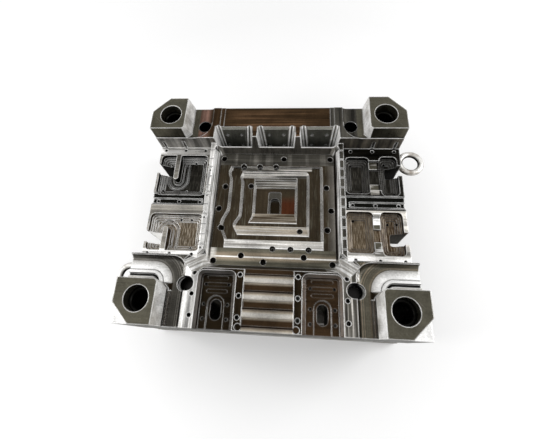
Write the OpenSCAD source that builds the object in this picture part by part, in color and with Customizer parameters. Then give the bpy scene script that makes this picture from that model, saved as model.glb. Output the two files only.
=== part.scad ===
/* [Holder block] */
// Width of the holder block, left to right
block_w = 1150; // [1140:10:1250]
// Depth of the holder block, front to rear
block_d = 1000; // [1000:10:1100]
// Thickness of the holder block from its underside to the boss tops
block_h = 360; // [350:5:420]
// Drop from the boss tops to the deck
deck_drop = 78; // [60:1:90]
// Drop from the boss tops to the side ledges
ledge_drop = 173; // [165:1:185]
// Drop from the boss tops to the cavity floor
floor_drop = 190; // [186:1:215]

/* [Corner bosses] */
// Width of a corner boss at its top
boss_w = 159; // [150:1:175]
// Depth of a corner boss at its top
boss_d = 166; // [155:1:175]
// How far the inner side face of a boss spreads towards its foot
boss_draft = 14; // [6:1:20]
// Size of the triangle cut from the outer corner of a boss
boss_outer_chamfer = 74; // [50:1:78]
// Drop from the boss tops to the triangular step in their outer corners
boss_corner_drop = 30; // [20:1:60]
// Chamfer on the inner corner of a boss
boss_inner_chamfer = 24; // [10:1:40]
// Distance from the side of the block to a guide bush axis
bush_inset_x = 89; // [86:1:95]
// Distance from the front or rear of the block to a guide bush axis
bush_inset_y = 91; // [86:1:95]

/* [Guide bushes] */
// Outside diameter of a guide bush
bush_od = 97; // [92:1:104]
// Bore of a guide bush
bush_id = 70; // [60:1:76]
// Diameter of the head at the lower end of a guide bush
bush_head_d = 110; // [108:1:114]
// Height of the head of a guide bush
bush_head_h = 24; // [16:1:34]
// How far the top of a guide bush lies below the boss top
bush_recess = 46; // [20:1:70]

/* [Main pocket] */
// Half width of the main pocket at its floor
pocket_half_w = 272; // [268:1:276]
// Front edge of the main pocket floor, measured from the block centre
pocket_front = -238; // [-242:1:-234]
// Rear edge of the main pocket floor, measured from the block centre
pocket_rear = 308; // [302:1:312]
// How far each pocket wall leans out per millimetre of height
wall_lean = 0.3; // [0.2:0.01:0.33]
// Corner radius of the main pocket at its floor
pocket_corner_r = 22; // [12:1:34]

/* [Cavity insert] */
// Thickness of the cavity insert at its rim
insert_t = 80; // [72:1:92]
// Height of one terrace step
terrace_step = 13; // [8:1:15]
// Distance from the centre to the right edge of the outermost terrace
terrace_half_w = 219; // [212:1:219]
// Distance from the centre to the right edge of the middle terrace
terrace_mid_half_w = 157; // [150:1:162]
// Distance from the centre to the right edge of the innermost terrace
terrace_in_half_w = 102; // [96:1:106]
// Depth of the recess at the centre, below the innermost terrace
recess_depth = 6; // [4:1:10]
// Depth of the round ended slot in the middle of that recess
pit_depth = 20; // [12:1:24]
// Diameter of the insert screws
insert_screw_d = 16; // [12:1:18]
// Spacing of the insert screws in a row
insert_screw_pitch = 78; // [60:1:84]

/* [Wear plates] */
// Thickness of a wear plate
wear_t = 12; // [10:1:16]
// Half width of the centre slot in the rear wall
slot_centre_half_w = 90; // [84:1:91]
// Inner edge of an outer slot in the rear wall
slot_outer_in = 112; // [110:1:120]
// Outer edge of an outer slot in the rear wall
slot_outer_out = 292; // [286:1:293]
// Radius of the round relief groove in a slot corner
slot_relief_r = 14; // [10:1:15]
// Depth of the slots below the cavity floor
slot_sink = 35; // [20:1:45]
// Diameter of the wear plate screws
wear_screw_d = 8; // [6:1:10]

/* [Side recesses] */
// Inner edge of a side recess
recess_in = 312; // [304:1:318]
// Front edge of the side recesses
recess_front = -222; // [-226:1:-216]
// Rear edge of the side recesses
recess_rear = 331; // [328:1:333]
// Drop from the boss tops to the top of the rib beside the cavity
rib_drop = 125; // [110:1:140]
// Depth of the pockets in a side ledge
side_pocket_depth = 42; // [30:1:50]
// Corner radius of the pockets in a side ledge
side_pocket_r = 20; // [10:1:28]
// Width of the groove that carries the middle row of holes
key_groove_w = 58; // [44:1:62]
// Depth of the groove that carries the middle row of holes
key_groove_depth = 9; // [5:1:12]
// Diameter of the tapped holes in the ledges
ledge_hole_d = 14; // [10:1:18]
// Depth of the tapped holes in the ledges
ledge_hole_depth = 45; // [25:1:60]
// Inner end of the notches that open through the sides
notch_in = 505; // [500:1:530]
// Width of the notches that open through the sides
notch_w = 52; // [40:1:54]
// Depth of the clip notches in the top of the left rib
clip_depth = 8; // [4:1:12]

/* [Front deck] */
// Half width of the ribbed ramp at the front centre
ramp_half_w = 97; // [85:1:101]
// Depth of the ribbed ramp below the deck
ramp_depth = 16; // [10:1:22]
// Length of one tooth of the ribbed ramp
ramp_pitch = 64; // [40:1:76]
// Height of one tooth of the ribbed ramp
ramp_tooth = 9; // [4:1:9]
// Inner edge of a front pocket
front_pocket_in = 130; // [126:1:136]
// Outer edge of a front pocket
front_pocket_out = 282; // [276:1:284]
// Rear edge of the front pockets
front_pocket_rear = -281; // [-300:1:-280]
// Front edge of the front pockets
front_pocket_front = -486; // [-490:1:-478]
// Depth of the front pockets
front_pocket_depth = 34; // [24:1:44]
// Width of the oval slot through each front pocket
oval_w = 42; // [30:1:50]
// Length of the oval slot through each front pocket
oval_len = 76; // [60:1:84]
// Diameter of the holes in the deck strips
strip_hole_d = 17; // [12:1:20]
// Depth of the holes in the deck strips
strip_hole_depth = 60; // [30:1:80]

/* [Corner channels] */
// Inner edge of the channel round a front boss
channel_in = 335; // [332:1:346]
// Rear edge of the channel round a front boss
channel_rear = -229; // [-240:1:-228]
// Depth of the channels round the bosses
channel_depth = 24; // [12:1:32]
// Width of the hollowed band along the edge of a front channel
channel_band = 20; // [16:1:30]
// Corner radius of the channel round a front boss
channel_r = 61; // [50:1:70]
// Width of the skirt that rises from the channel to the rear face of a front boss
skirt_w = 84; // [76:1:88]
// Height of the skirt above the channel floor
skirt_h = 14; // [10:1:18]
// Inner edge of the relief beside a rear boss
moat_in = 308; // [306:1:324]
// Depth of the relief beside a rear boss
moat_depth = 12; // [6:1:18]
// Corner radius of the relief beside a rear boss
moat_r = 84; // [60:1:84]
// Width of the hollowed band along the edge of a rear relief
moat_band = 21; // [14:1:26]

/* [Ejector box] */
// Height of the rails under the holder block
rail_h = 170; // [165:5:230]
// Width of a rail
rail_w = 60; // [50:1:70]
// How far the rails are set in from the sides of the block
rail_inset = 35; // [25:1:40]
// Thickness of the clamp plate
clamp_t = 60; // [50:1:80]
// Diameter of the hole for the ejector rod
rod_hole_d = 60; // [40:1:80]
// Thickness of the lower ejector plate
ejector_t = 45; // [36:1:50]
// Thickness of the ejector retainer plate
retainer_t = 30; // [24:1:34]
// Gap between the ejector plates and the rails
ejector_side_gap = 10; // [5:1:20]
// Distance of the ejector plates from the front and rear of the block
ejector_end_gap = 60; // [40:1:80]
// Height of the stop buttons
stop_h = 10; // [6:1:14]
// Diameter of the support pillars
pillar_d = 90; // [70:1:100]
// Diameter of the ejector guide pillars
guide_d = 40; // [30:1:44]

/* [Ejector pins] */
// Diameter of an ejector pin
pin_d = 26; // [20:1:28]
// How far the pin tips lie below the cavity floor at rest
pin_recess = 45; // [30:1:60]
// Diameter of a return pin
return_d = 57; // [50:1:60]
// How far the return pins lie below the deck at rest
return_recess = 92; // [80:1:110]
// Outside diameter of a return spring
spring_od = 90; // [84:1:94]
// Wire diameter of a return spring
spring_wire = 9; // [7:1:11]
// Number of turns of a return spring
spring_turns = 7; // [5:1:8]
// Depth of the spring pockets in the underside of the holder block
spring_pocket = 60; // [50:1:70]

/* [Lifting eye bolts] */
// Thread diameter of an eye bolt
eye_thread_d = 36; // [30:1:42]
// Length of the threaded shank
eye_thread_len = 54; // [44:1:60]
// Outside diameter of the ring
eye_ring_od = 126; // [108:1:144]
// Thickness of the ring
eye_ring_t = 28; // [22:1:32]
// Distance from the face of the block to the ring centre
eye_ring_reach = 65; // [60:1:78]
// Collar diameter
eye_collar_d = 75; // [60:1:85]
// Distance from the front or rear of the block to an eye bolt axis
eye_inset_y = 207; // [200:1:214]
// Drop from the boss tops to the eye bolt axis
eye_drop = 250; // [245:1:256]

/* [Fits] */
// Gap left round screws and other pieces that are drilled or pocketed for
seat_gap = 0.1; // [0.05:0.01:0.2]
// Radial gap of the sliding pins and pillars
slide_gap = 0.05; // [0.02:0.01:0.09]
// Diameter of the screws that hold the clamp plate and rails
clamp_screw_d = 24; // [16:1:26]
// Diameter of the dowels in the rails
dowel_d = 20; // [12:1:24]

/* [Hidden] */
$fn = 64;
// Overlap that lets a cut run past the face it opens
over = 1;
half_w = block_w / 2;
half_d = block_d / 2;
// Levels, from the underside of the clamp plate upwards
block_z = clamp_t + rail_h;
top_z = block_z + block_h;
deck_z = top_z - deck_drop;
ledge_z = top_z - ledge_drop;
floor_z = top_z - floor_drop;
rib_z = top_z - rib_drop;
seat_z = floor_z - insert_t;
ejector_z = clamp_t + stop_h;
retainer_z = ejector_z + ejector_t;
plates_top_z = retainer_z + retainer_t;
eye_z = top_z - eye_drop;
eye_y = half_d - eye_inset_y;
// Inner face of a rail and the edges of the ejector plates
rail_x = half_w - rail_inset - rail_w;
ejector_half_w = rail_x - ejector_side_gap;
ejector_half_d = half_d - ejector_end_gap;
// Places of the bosses and guide bushes
bush_x = half_w - bush_inset_x;
bush_y = half_d - bush_inset_y;
boss_x = half_w - boss_w;
boss_y = half_d - boss_d;
// Upper rim of the main pocket, well above the deck
rim_z = top_z + 10;
rim_spread = (rim_z - floor_z) * wall_lean;
rim_corner_r = pocket_corner_r + 20;
// Rear wall slots: front face of the wear plates at the deck and at the slot floor
slot_floor_z = floor_z - slot_sink;
slot_lean = 0.223;
slot_angle = atan(slot_lean);
slot_face_back = 42;
slot_face_y = pocket_rear + slot_face_back;
slot_front_y = pocket_rear + 14;
// How far the sides of a slot close in per millimetre towards its floor
slot_draft = 0.09;
wear_top_z = deck_z - 6;
wear_step = wear_t / cos(slot_angle);
slot_spans = [[-slot_outer_out, -slot_outer_in], [-slot_centre_half_w, slot_centre_half_w],
  [slot_outer_in, slot_outer_out]];
wear_screw_rise = [36, 104];
wear_screw_inset = 56;
wear_edge = 2 * slot_relief_r + 4;
slot_tilt = atan(slot_draft);
wear_head_d = 13;
wear_head_h = 8;
wear_screw_len = 34;
// Terraces: right edge, front edge, end of the front ramp, rear edge, foot of the rear steps,
// number of rear steps, radius of the far corner and level
terraces = [[terrace_half_w, -163, -120, 245, 232, 1, 14, 1],
  [terrace_mid_half_w, -101, -52, 222, 200, 3, 30, 2],
  [terrace_in_half_w, -40, 13, 197, 138, 5, 16, 3]];
// Left edges of the terraces, and the lobes by which each swings out: place, half length and height
terrace_left = [215, 161, 102];
terrace_lobes = [[[-52, 84, 27], [206, 40, 11]], [[-52, 54, 24], [188, 26, 9]], [[-60, 70, 20]]];
wave_steps = 24;
terrace_slices = 3;
// Recess at the centre and the round ended slot inside it
recess_box = [-32, 28, 14, 122];
pit_box = [-25, 22, 14, 92];
recess_r = 10;
// Insert screws
insert_screw_front = 78;
insert_screw_rear = 70;
insert_screw_places = concat([for (i = [0:2]) [i * insert_screw_pitch, pocket_front + insert_screw_front]],
  [for (i = [0:2]) [-i * insert_screw_pitch, pocket_rear - insert_screw_rear]]);
insert_head_d = 1.5 * insert_screw_d;
insert_bore_d = insert_head_d + 2;
insert_head_h = insert_screw_d;
insert_head_drop = 20;
insert_grip = 50;
// Ejector pins: the pairs and the single ones
pin_side_x = pocket_half_w - 16;
pin_rear_y = pocket_rear - 29;
pin_front_y = pocket_front + 18;
pin_pairs = [[pocket_half_w - 36, 131], [pocket_half_w - 35, -70], [pin_side_x, pin_rear_y], [pin_side_x, 20],
  [pin_side_x, pin_front_y], [135.5, pocket_front + 44]];
pin_singles = [[36, pin_rear_y], [-117, 146], [117, -74], [-37, pin_front_y]];
pin_places = concat([for (p = pin_pairs) p], [for (p = pin_pairs) [-p[0], p[1]]], pin_singles);
pin_head_d = 36;
pin_head_h = 9;
// Return pins
return_rear_y = half_d - 102;
return_front_y = 164 - half_d;
return_places = [[344, return_rear_y], [-344, return_rear_y], [333, return_front_y], [-333, return_front_y]];
return_mouth_half_w = 36;
return_head_d = 70;
return_head_h = 10;
return_mouth = 18;
// Support pillars, guide pillars, stop buttons and plate screws
pillar_places = [[150, 30], [-150, 30], [150, -330], [-150, -330], [150, 368], [-150, 368]];
pillar_gap = 4;
pillar_screw_d = 16;
pillar_screw_grip = 36;
guide_inset = 60;
guide_x = ejector_half_w - guide_inset;
guide_places = [[guide_x, 180], [-guide_x, 180], [guide_x, -180], [-guide_x, -180]];
guide_socket = 40;
guide_bush_wall = 8;
guide_bush_d = guide_d + 2 * guide_bush_wall;
guide_flange_d = guide_bush_d + 10;
stop_inset = 40;
stop_x = ejector_half_w - stop_inset;
stop_rear_y = ejector_half_d - 1.5 * stop_inset;
stop_front_y = stop_inset - ejector_half_d;
stop_places = [[stop_x, stop_rear_y], [-stop_x, stop_rear_y], [stop_x, stop_front_y], [-stop_x, stop_front_y],
  [300, 60], [-300, 60], [0, 180], [0, -180]];
stop_d = 40;
plate_screw_d = 12;
plate_screw_x = ejector_half_w - 30;
plate_screw_places = concat([for (x = [-plate_screw_x, plate_screw_x], y = [-290, 290]) [x, y]],
  [for (x = [-230, 230], y = [stop_front_y, 330]) [x, y]]);
plate_screw_cover = 6;
rod_socket_d = 24;
rod_socket_depth = 30;
// Room round heads, pins and springs, and how deep the heads of plain screws are sunk
head_room = 3;
pin_room = 1;
spring_room = 6;
spring_gap = 0.3;
screw_sink = 4;
head_ratio = 1.5;
pillar_head_d = head_ratio * pillar_screw_d;
plate_head_d = head_ratio * plate_screw_d;
// Rails and their screws
rail_mid = rail_x + rail_w / 2;
clamp_screw_y = [-476, -300, 0, 300, 476];
clamp_screw_grip = 60;
clamp_head_h = clamp_screw_d;
clamp_head_d = 1.5 * clamp_screw_d;
clamp_head_drop = 6;
dowel_y = [-240, 60];
dowel_grip = 40;
// Side ledges: rows of holes, pockets as left, right, front and rear edges, bridges and small holes
ledge_rows_y = [-201, 50, 314];
ledge_cols_x = [350, 450, 550];
key_groove_y = 58;
groove_line_w = 24;
side_wall_t = 18;
pocket_x = half_w - side_wall_t;
right_spans = [[324, 431, 100, 283], [316, 433, -170, 14], [479, pocket_x, 92, 287],
  [464, pocket_x, -178, 14]];
bridge_in = right_spans[0][1] - 6;
right_bridges = [[bridge_in, 485, 118, 266, 1], [bridge_in, 485, 150, 226, 2], [bridge_in, 470, -150, -6, 1],
  [bridge_in, 470, -118, -62, 2]];
right_marks = [[350, 255], [395, 120], [352, -18], [505, 262], [540, 110], [500, -30], [538, -30]];
left_spans = [[334, pocket_x + 8, 81, 287], [323, pocket_x + 8, -186, -16]];
left_marks = [[400, 262], [360, 110], [430, 110], [545, 110], [380, -35], [430, -35], [545, -45],
  [370, -165]];
pocket_levels = 4;
pocket_lip = 9;
pocket_level_step = 5;
mark_d = 10;
mark_depth = 25;
bridge_depth = 12;
// Ribs left standing in the left pockets: place of the round end, direction and length
left_ribs = [[480, 170, 1, 140], [486, -88, -1, 112]];
left_rib_w = 24;
rib_groove_r = 24;
rib_groove_w = 14;
rib_groove_len = 80;
// Notches through the sides
notch_rear_y = 217;
notch_front_y = [-101, -123];
notch_r = 10;
// Clip notches and cross grooves in the rib tops
clip_places = [200, 74, -30, -165];
clip_w = 9;
clip_len = 52;
clip_angle = 32;
cross_pitch = 46;
cross_groove = 5;
edge_mark_d = 12;
// Front deck
strip_hole_y = [-294, -374, -453];
strip_hole_x = [113.5, 299];
pocket_hole_x = [160, 254];
pocket_hole_y = [-331, -407, -461];
pocket_hole_d = 11;
oval_x = 207;
oval_y = -426;
arch_w = 66;
arch_depth = 9;
arch_top = 20;
front_pocket_r = 24;
pocket_wall_steps = 3;
pocket_wall_step = 4;
platform_half_w = 42;
platform_y = [-305, -331, -357];
platform_r = 7;
platform_depth = 1.5;
strip_mark_x = strip_hole_x[0] - 5;
strip_mark_inset = 14;
strip_mark_d = 24;
eye_ring_r = (eye_ring_od - eye_ring_t) / 2;
track_half_w = 251;
track_step = 19;
track_depth = 4;
clamp_clear = 1;
guide_seat = 30;
guide_head_h = 8;
clamp_bolt_y = [-380, 0, 380];
clamp_slot_w = 26;
clamp_slot_len = 20;
foot_r = 17;
boss_foot_z = deck_z - max(channel_depth, moat_depth) - over;
fan_rise = 47;
fan_w = 78;
fan_len = 150;
fan_foot_x = pocket_half_w - 4;
fan_foot_y = pocket_front + 20;
fan_foot_h = 26;
// Skirt of a front boss: distances from the boss face and heights above the channel floor
skirt_x = boss_x + 59;
skirt_profile = [[1, 0], [0.71, 0.28], [0.6, 0.35], [0.585, 0.12], [0.55, 0.12], [0.535, 0.62], [0.4, 1],
  [0.39, 0.1], [0.24, 0.1], [0.23, 0.95], [0.08, 0.95], [0.07, 0.3], [0, 0.3]];

// Rounded rectangle from its edges, drawn flat
module round_box(x0, x1, y0, y1, r) {
  union() {
    translate([x0 + r, y0]) square([x1 - x0 - 2 * r, y1 - y0]);
    translate([x0, y0 + r]) square([x1 - x0, y1 - y0 - 2 * r]);
    for (x = [x0 + r, x1 - r], y = [y0 + r, y1 - r]) translate([x, y]) circle(r);
  }
}

// Upright prism over a rounded rectangle
module round_pocket(x0, x1, y0, y1, r, z0, z1) {
  translate([0, 0, z0]) linear_extrude(z1 - z0) round_box(x0, x1, y0, y1, r);
}

// Plain box from its edges
module edge_box(x0, x1, y0, y1, z0, z1) {
  translate([x0, y0, z0]) cube([x1 - x0, y1 - y0, z1 - z0]);
}

// Upright cylinder from its place and its two levels
module post(x, y, z0, z1, d) {
  translate([x, y, z0]) cylinder(h = z1 - z0, d = d);
}

// Prism along X over an outline in Y and Z
module along_x(x0, x1) {
  translate([x0, 0, 0]) rotate([90, 0, 90]) linear_extrude(x1 - x0) children();
}

// Prism along Y over an outline in X and Z
module along_y(y0, y1) {
  translate([0, y1, 0]) rotate([90, 0, 0]) linear_extrude(y1 - y0) children();
}

// The children and their mirror image across the middle
module both_sides() {
  children();
  mirror([1, 0, 0]) children();
}

// One corner boss at the rear right: drafted, with a low triangular step in its outer corner
module rear_boss() {
  inner_x = boss_x - boss_draft;
  corner_cut = boss_outer_chamfer + 2 * over;
  corner_drop = boss_corner_drop + over;
  difference() {
    intersection() {
      along_y(0, half_d)
        polygon([[inner_x, boss_foot_z], [half_w, boss_foot_z], [half_w, top_z], [boss_x, top_z],
          [inner_x, deck_z]]);
      translate([0, 0, boss_foot_z]) linear_extrude(top_z - boss_foot_z)
        polygon([[inner_x, half_d], [inner_x, boss_y + boss_inner_chamfer],
          [inner_x + boss_inner_chamfer, boss_y], [half_w, boss_y], [half_w, half_d]]);
    }
    translate([half_w + over, half_d + over, top_z - boss_corner_drop]) linear_extrude(corner_drop)
      polygon([[0, 0], [-corner_cut, 0], [0, -corner_cut]]);
  }
}

// Hollow fillet at the foot of the inner face of a front boss
module boss_foot() {
  x1 = boss_x - boss_draft + over;
  z0 = deck_z - channel_depth;
  n = 6;
  along_y(-half_d, -boss_y - boss_inner_chamfer - 6)
    polygon(concat([[x1, z0 - over], [x1, z0 + foot_r]],
      [for (i = [0:n]) [x1 - foot_r * (1 - cos(90 * i / n)), z0 + foot_r * (1 - sin(90 * i / n))]],
      [[x1 - foot_r, z0 - over]]));
}

// Outline of the skirt: height against distance from the boss face
module skirt_outline() {
  z0 = deck_z - channel_depth;
  polygon(concat([[0, z0 - over], [skirt_w, z0 - over]],
    [for (p = skirt_profile) [p[0] * skirt_w, z0 + p[1] * skirt_h]]));
}

// Skirt that rises from the channel to the rear face of the front right boss and bends round its corner
module boss_skirt() {
  translate([0, -boss_y, 0]) along_x(skirt_x, half_w) skirt_outline();
  translate([skirt_x, -boss_y, 0]) intersection() {
    rotate_extrude(angle = 360) skirt_outline();
    edge_box(-skirt_w - over, 0, 0, skirt_w + over, block_z, top_z);
  }
}

// Main pocket with drafted walls and rounded corners that lean out with them
module main_pocket() {
  spots = [[pocket_half_w, pocket_rear, 1], [pocket_half_w, pocket_front, -1]];
  hull() {
    for (s = [-1, 1], p = spots) {
      translate([s * (p[0] - pocket_corner_r), p[1] - p[2] * pocket_corner_r, floor_z])
        cylinder(h = 0.01, r = pocket_corner_r, $fn = 32);
      translate([s * (p[0] + rim_spread - rim_corner_r), p[1] + p[2] * (rim_spread - rim_corner_r)])
        translate([0, 0, rim_z]) cylinder(h = 0.01, r = rim_corner_r, $fn = 32);
    }
  }
}

// How far back the face of the wear plates lies at a given height
function slot_face_at(z) = slot_face_y + (z - slot_floor_z) * slot_lean;

// One slot in the rear wall: leaning back, sides that close in downwards, round grooves in the back corners
module rear_slot(x0, x1) {
  back0 = slot_face_at(slot_floor_z) + wear_step;
  back1 = slot_face_at(rim_z) + wear_step;
  close = (deck_z - slot_floor_z) * slot_draft;
  spread = (rim_z - deck_z) * slot_draft;
  groove_in = close + slot_relief_r + 2;
  groove_y = back0 - slot_relief_r + 5;
  intersection() {
    along_x(x0 - spread, x1 + spread)
      polygon([[slot_front_y, slot_floor_z], [back0, slot_floor_z], [back1, rim_z], [slot_front_y, rim_z]]);
    along_y(slot_front_y - over, back1 + over)
      polygon([[x0 + close, slot_floor_z], [x1 - close, slot_floor_z], [x1 + spread, rim_z],
        [x0 - spread, rim_z]]);
  }
  for (side = [-1, 1])
    translate([side < 0 ? x0 + groove_in : x1 - groove_in, groove_y, slot_floor_z])
      rotate([-slot_angle, side * slot_tilt, 0]) cylinder(h = rim_z - slot_floor_z, r = slot_relief_r);
}

// Places a screw on the leaning face of the wear plates
module on_slot_face(x, rise) {
  z = slot_floor_z + rise;
  translate([x, slot_face_at(z), z]) rotate([-90 - slot_angle, 0, 0]) children();
}

// A wear plate leaning against the back of its slot, between the two grooves
module wear_plate(x0, x1) {
  z0 = slot_floor_z;
  close = (deck_z - slot_floor_z) * slot_draft;
  color("dimgray") difference() {
    intersection() {
      along_x(x0 + wear_edge, x1 - wear_edge)
        polygon([[slot_face_at(z0), z0], [slot_face_at(z0) + wear_step, z0],
          [slot_face_at(wear_top_z) + wear_step, wear_top_z], [slot_face_at(wear_top_z), wear_top_z]]);
      along_y(slot_face_y - over, slot_face_at(wear_top_z) + wear_step + over)
        polygon([[x0 + wear_edge + close, z0], [x1 - wear_edge - close, z0], [x1 - wear_edge, deck_z],
          [x0 + wear_edge, deck_z]]);
    }
    for (x = [x0 + wear_screw_inset, x1 - wear_screw_inset], rise = wear_screw_rise)
      on_slot_face(x, rise) {
        translate([0, 0, -over]) cylinder(h = wear_head_h + over, d = wear_head_d + 2);
        translate([0, 0, -over]) cylinder(h = wear_t + 2 * over, d = wear_screw_d + 2 * seat_gap);
      }
  }
}

// Hollowed band along the edge of a channel: depth against distance from the edge
module band_outline(depth, band) {
  n = 8;
  polygon(concat([[0, depth + over]],
    [for (i = [0:n]) [band * (1 - cos(90 * i / n)), depth * (1 - sin(90 * i / n))]],
    [[band, depth + over]]));
}

// Channel round the front right boss, with a hollowed band along its edge
module corner_channel(x0, y0, r, depth, band) {
  z0 = deck_z - depth;
  edge = band - 0.5;
  // Flat floor inside the band
  translate([0, 0, z0]) linear_extrude(depth + over) union() {
    translate([x0 + edge, -half_d - over]) square([half_w - x0 - edge + over, half_d + y0 - r + over]);
    translate([x0 + r, -half_d - over]) square([half_w - x0 - r + over, half_d + y0 - edge + over]);
    translate([x0 + r, y0 - r]) circle(r - edge);
  }
  // Band along the inner edge, along the rear edge and round the corner
  along_y(-half_d - over, y0 - r) translate([x0, z0]) band_outline(depth, band);
  along_x(x0 + r, half_w + over) translate([y0, z0]) mirror([1, 0]) band_outline(depth, band);
  translate([x0 + r, y0 - r, z0]) rotate_extrude(angle = 360)
    translate([r, 0]) mirror([1, 0]) band_outline(depth, band);
}

// Ribbed ramp that runs from the main pocket to the front edge
module front_ramp() {
  z1 = deck_z - ramp_depth;
  first = pocket_front - 20;
  n = ceil((half_d + first) / ramp_pitch);
  along_x(-ramp_half_w, ramp_half_w) union() {
    for (i = [0:n])
      translate([first - (i + 1) * ramp_pitch, 0])
        polygon([[0, z1 + ramp_tooth], [ramp_pitch * 0.45, z1 + ramp_tooth * 0.9], [ramp_pitch * 0.55, z1],
          [ramp_pitch, z1 + ramp_tooth * 0.2], [ramp_pitch, deck_z + over], [0, deck_z + over]]);
    translate([first, z1]) square([40, ramp_depth + over]);
  }
}

// Front pocket on the right with its oval slot, arched step and holes
module front_pocket() {
  z0 = deck_z - front_pocket_depth;
  slot_half = (oval_len - oval_w) / 2;
  // Walls that step in towards the floor
  for (i = [0:pocket_wall_steps]) {
    d = i * pocket_wall_step;
    z = i == pocket_wall_steps ? z0 : deck_z - (i + 1) * 3;
    round_pocket(front_pocket_in + d, front_pocket_out - d, front_pocket_front, front_pocket_rear - d,
      front_pocket_r - d, z, deck_z + over);
    edge_box(front_pocket_in + d, front_pocket_out - d, -half_d - over, front_pocket_front + front_pocket_r,
      z, deck_z + over);
  }
  // Arched step that opens to the front
  translate([0, 0, z0 - arch_depth]) linear_extrude(arch_depth + over) union() {
    translate([oval_x, oval_y + arch_top]) circle(arch_w / 2);
    translate([oval_x - arch_w / 2, -half_d - over]) square([arch_w, half_d + oval_y + arch_top + over]);
  }
  // Oval slot right through
  translate([0, 0, block_z - over]) linear_extrude(deck_z - block_z) union() {
    for (s = [-1, 1]) translate([oval_x, oval_y + s * slot_half]) circle(oval_w / 2);
    translate([oval_x - oval_w / 2, oval_y - slot_half]) square([oval_w, 2 * slot_half]);
  }
  // Low platform marks at the rear of the floor
  for (y = platform_y)
    round_pocket(oval_x - platform_half_w, oval_x + platform_half_w, y - platform_r, y + platform_r,
      platform_r - 1, z0 - platform_depth, z0 + over);
  for (x = pocket_hole_x, y = pocket_hole_y) post(x, y, z0 - 30, z0 + over, pocket_hole_d);
}

// Side recess on the right: ledge, lowered rib, groove and rows of holes
module side_recess() {
  edge_box(recess_in, half_w + over, recess_front, recess_rear, ledge_z, top_z + over);
  edge_box(pocket_half_w, recess_in + over, recess_front, recess_rear, rib_z, top_z + over);
  // Groove for the middle row
  edge_box(recess_in + 8, half_w + over, key_groove_y - key_groove_w / 2, key_groove_y + key_groove_w / 2,
    ledge_z - key_groove_depth, ledge_z + over);
  edge_box(recess_in + groove_line_w, half_w + over, ledge_rows_y[1] - groove_line_w / 2,
    ledge_rows_y[1] + groove_line_w / 2, ledge_z - 2 * key_groove_depth, ledge_z + over);
  for (x = ledge_cols_x, y = ledge_rows_y)
    post(x, y, ledge_z - ledge_hole_depth, ledge_z + over, ledge_hole_d);
  // Half round marks that the ledge holes leave in the rear wall
  for (x = [ledge_cols_x[1], ledge_cols_x[2]]) post(x, recess_rear, ledge_z, ledge_z + 60, edge_mark_d);
  // Narrow grooves across the rib
  for (y = [recess_front + 52:cross_pitch:recess_rear - 30])
    edge_box(pocket_half_w, recess_in + over, y, y + cross_groove, rib_z - cross_groove, rib_z + over);
}

// A pocket in a ledge whose walls step in towards its floor
module ledge_pocket(p) {
  z0 = ledge_z - side_pocket_depth;
  for (i = [0:pocket_levels - 1]) {
    d = i * pocket_lip;
    round_pocket(p[0] + d, p[1] - d, p[2] + d, p[3] - d, max(side_pocket_r - d / 2, 6),
      z0 + (pocket_levels - 1 - i) * pocket_level_step, ledge_z + over);
  }
}

// Notch that opens through a side of the block
module side_notch(y) {
  round_pocket(notch_in, half_w + notch_w, y - notch_w / 2, y + notch_w / 2, notch_r, block_z - over, top_z);
}

// Small blind holes in the pocket floors
module pocket_marks(places) {
  z0 = ledge_z - side_pocket_depth;
  for (p = places) post(p[0], p[1], z0 - mark_depth, ledge_z, mark_d);
}

// Pockets in the right ledge, with stepped bridges between an inner and an outer one
module right_pockets() {
  for (p = right_spans) ledge_pocket(p);
  for (b = right_bridges) edge_box(b[0], b[1], b[2], b[3], ledge_z - b[4] * bridge_depth, ledge_z + over);
  side_notch(notch_rear_y);
  side_notch(notch_front_y[0]);
  pocket_marks(right_marks);
}

// Flat U: a strip of width 2 * r with one round end, open towards dir
module u_shape(r, dir, len) {
  circle(r);
  translate([-r, dir > 0 ? 0 : -len]) square([2 * r, len]);
}

// U shaped groove round the end of a rib
module u_groove(rib, r, w, z0, z1) {
  translate([rib[0], rib[1], z0]) linear_extrude(z1 - z0) difference() {
    u_shape(r + w, rib[2], rib_groove_len);
    u_shape(r, rib[2], rib_groove_len + over);
  }
}

// Pockets in the left ledge, drawn on the right and mirrored by the caller
module left_pockets() {
  z0 = ledge_z - side_pocket_depth;
  difference() {
    for (p = left_spans) ledge_pocket(p);
    // Ribs left standing beside the notches
    for (rib = left_ribs)
      translate([rib[0], rib[1], z0 - over]) linear_extrude(side_pocket_depth + 2 * over)
        u_shape(left_rib_w / 2, rib[2], rib[3]);
  }
  for (rib = left_ribs) {
    u_groove(rib, rib_groove_r, rib_groove_w, z0 - 8, z0 + 16);
    u_groove(rib, rib_groove_r + rib_groove_w + 8, rib_groove_w / 2, z0 - 4, z0 + 16);
  }
  side_notch(notch_rear_y);
  side_notch(notch_front_y[1]);
  pocket_marks(left_marks);
  // Clip notches and their small holes in the top of the rib
  for (y = clip_places) {
    translate([(pocket_half_w + recess_in) / 2, y, rib_z - clip_depth]) rotate([0, 0, clip_angle])
      translate([-clip_len / 2, -clip_w / 2, 0]) cube([clip_len, clip_w, clip_depth + over]);
    post(recess_in - 10, y - 16, rib_z - 2 * clip_depth, rib_z + over, mark_d);
  }
}

// Sloping fan that widens the front corner of the main pocket
module corner_fan() {
  translate([fan_foot_x, fan_foot_y, floor_z + fan_foot_h]) rotate([0, 0, -45]) rotate([0, -fan_rise, 0])
    translate([0, -fan_w / 2, 0]) cube([fan_len, fan_w, fan_len]);
}

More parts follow.
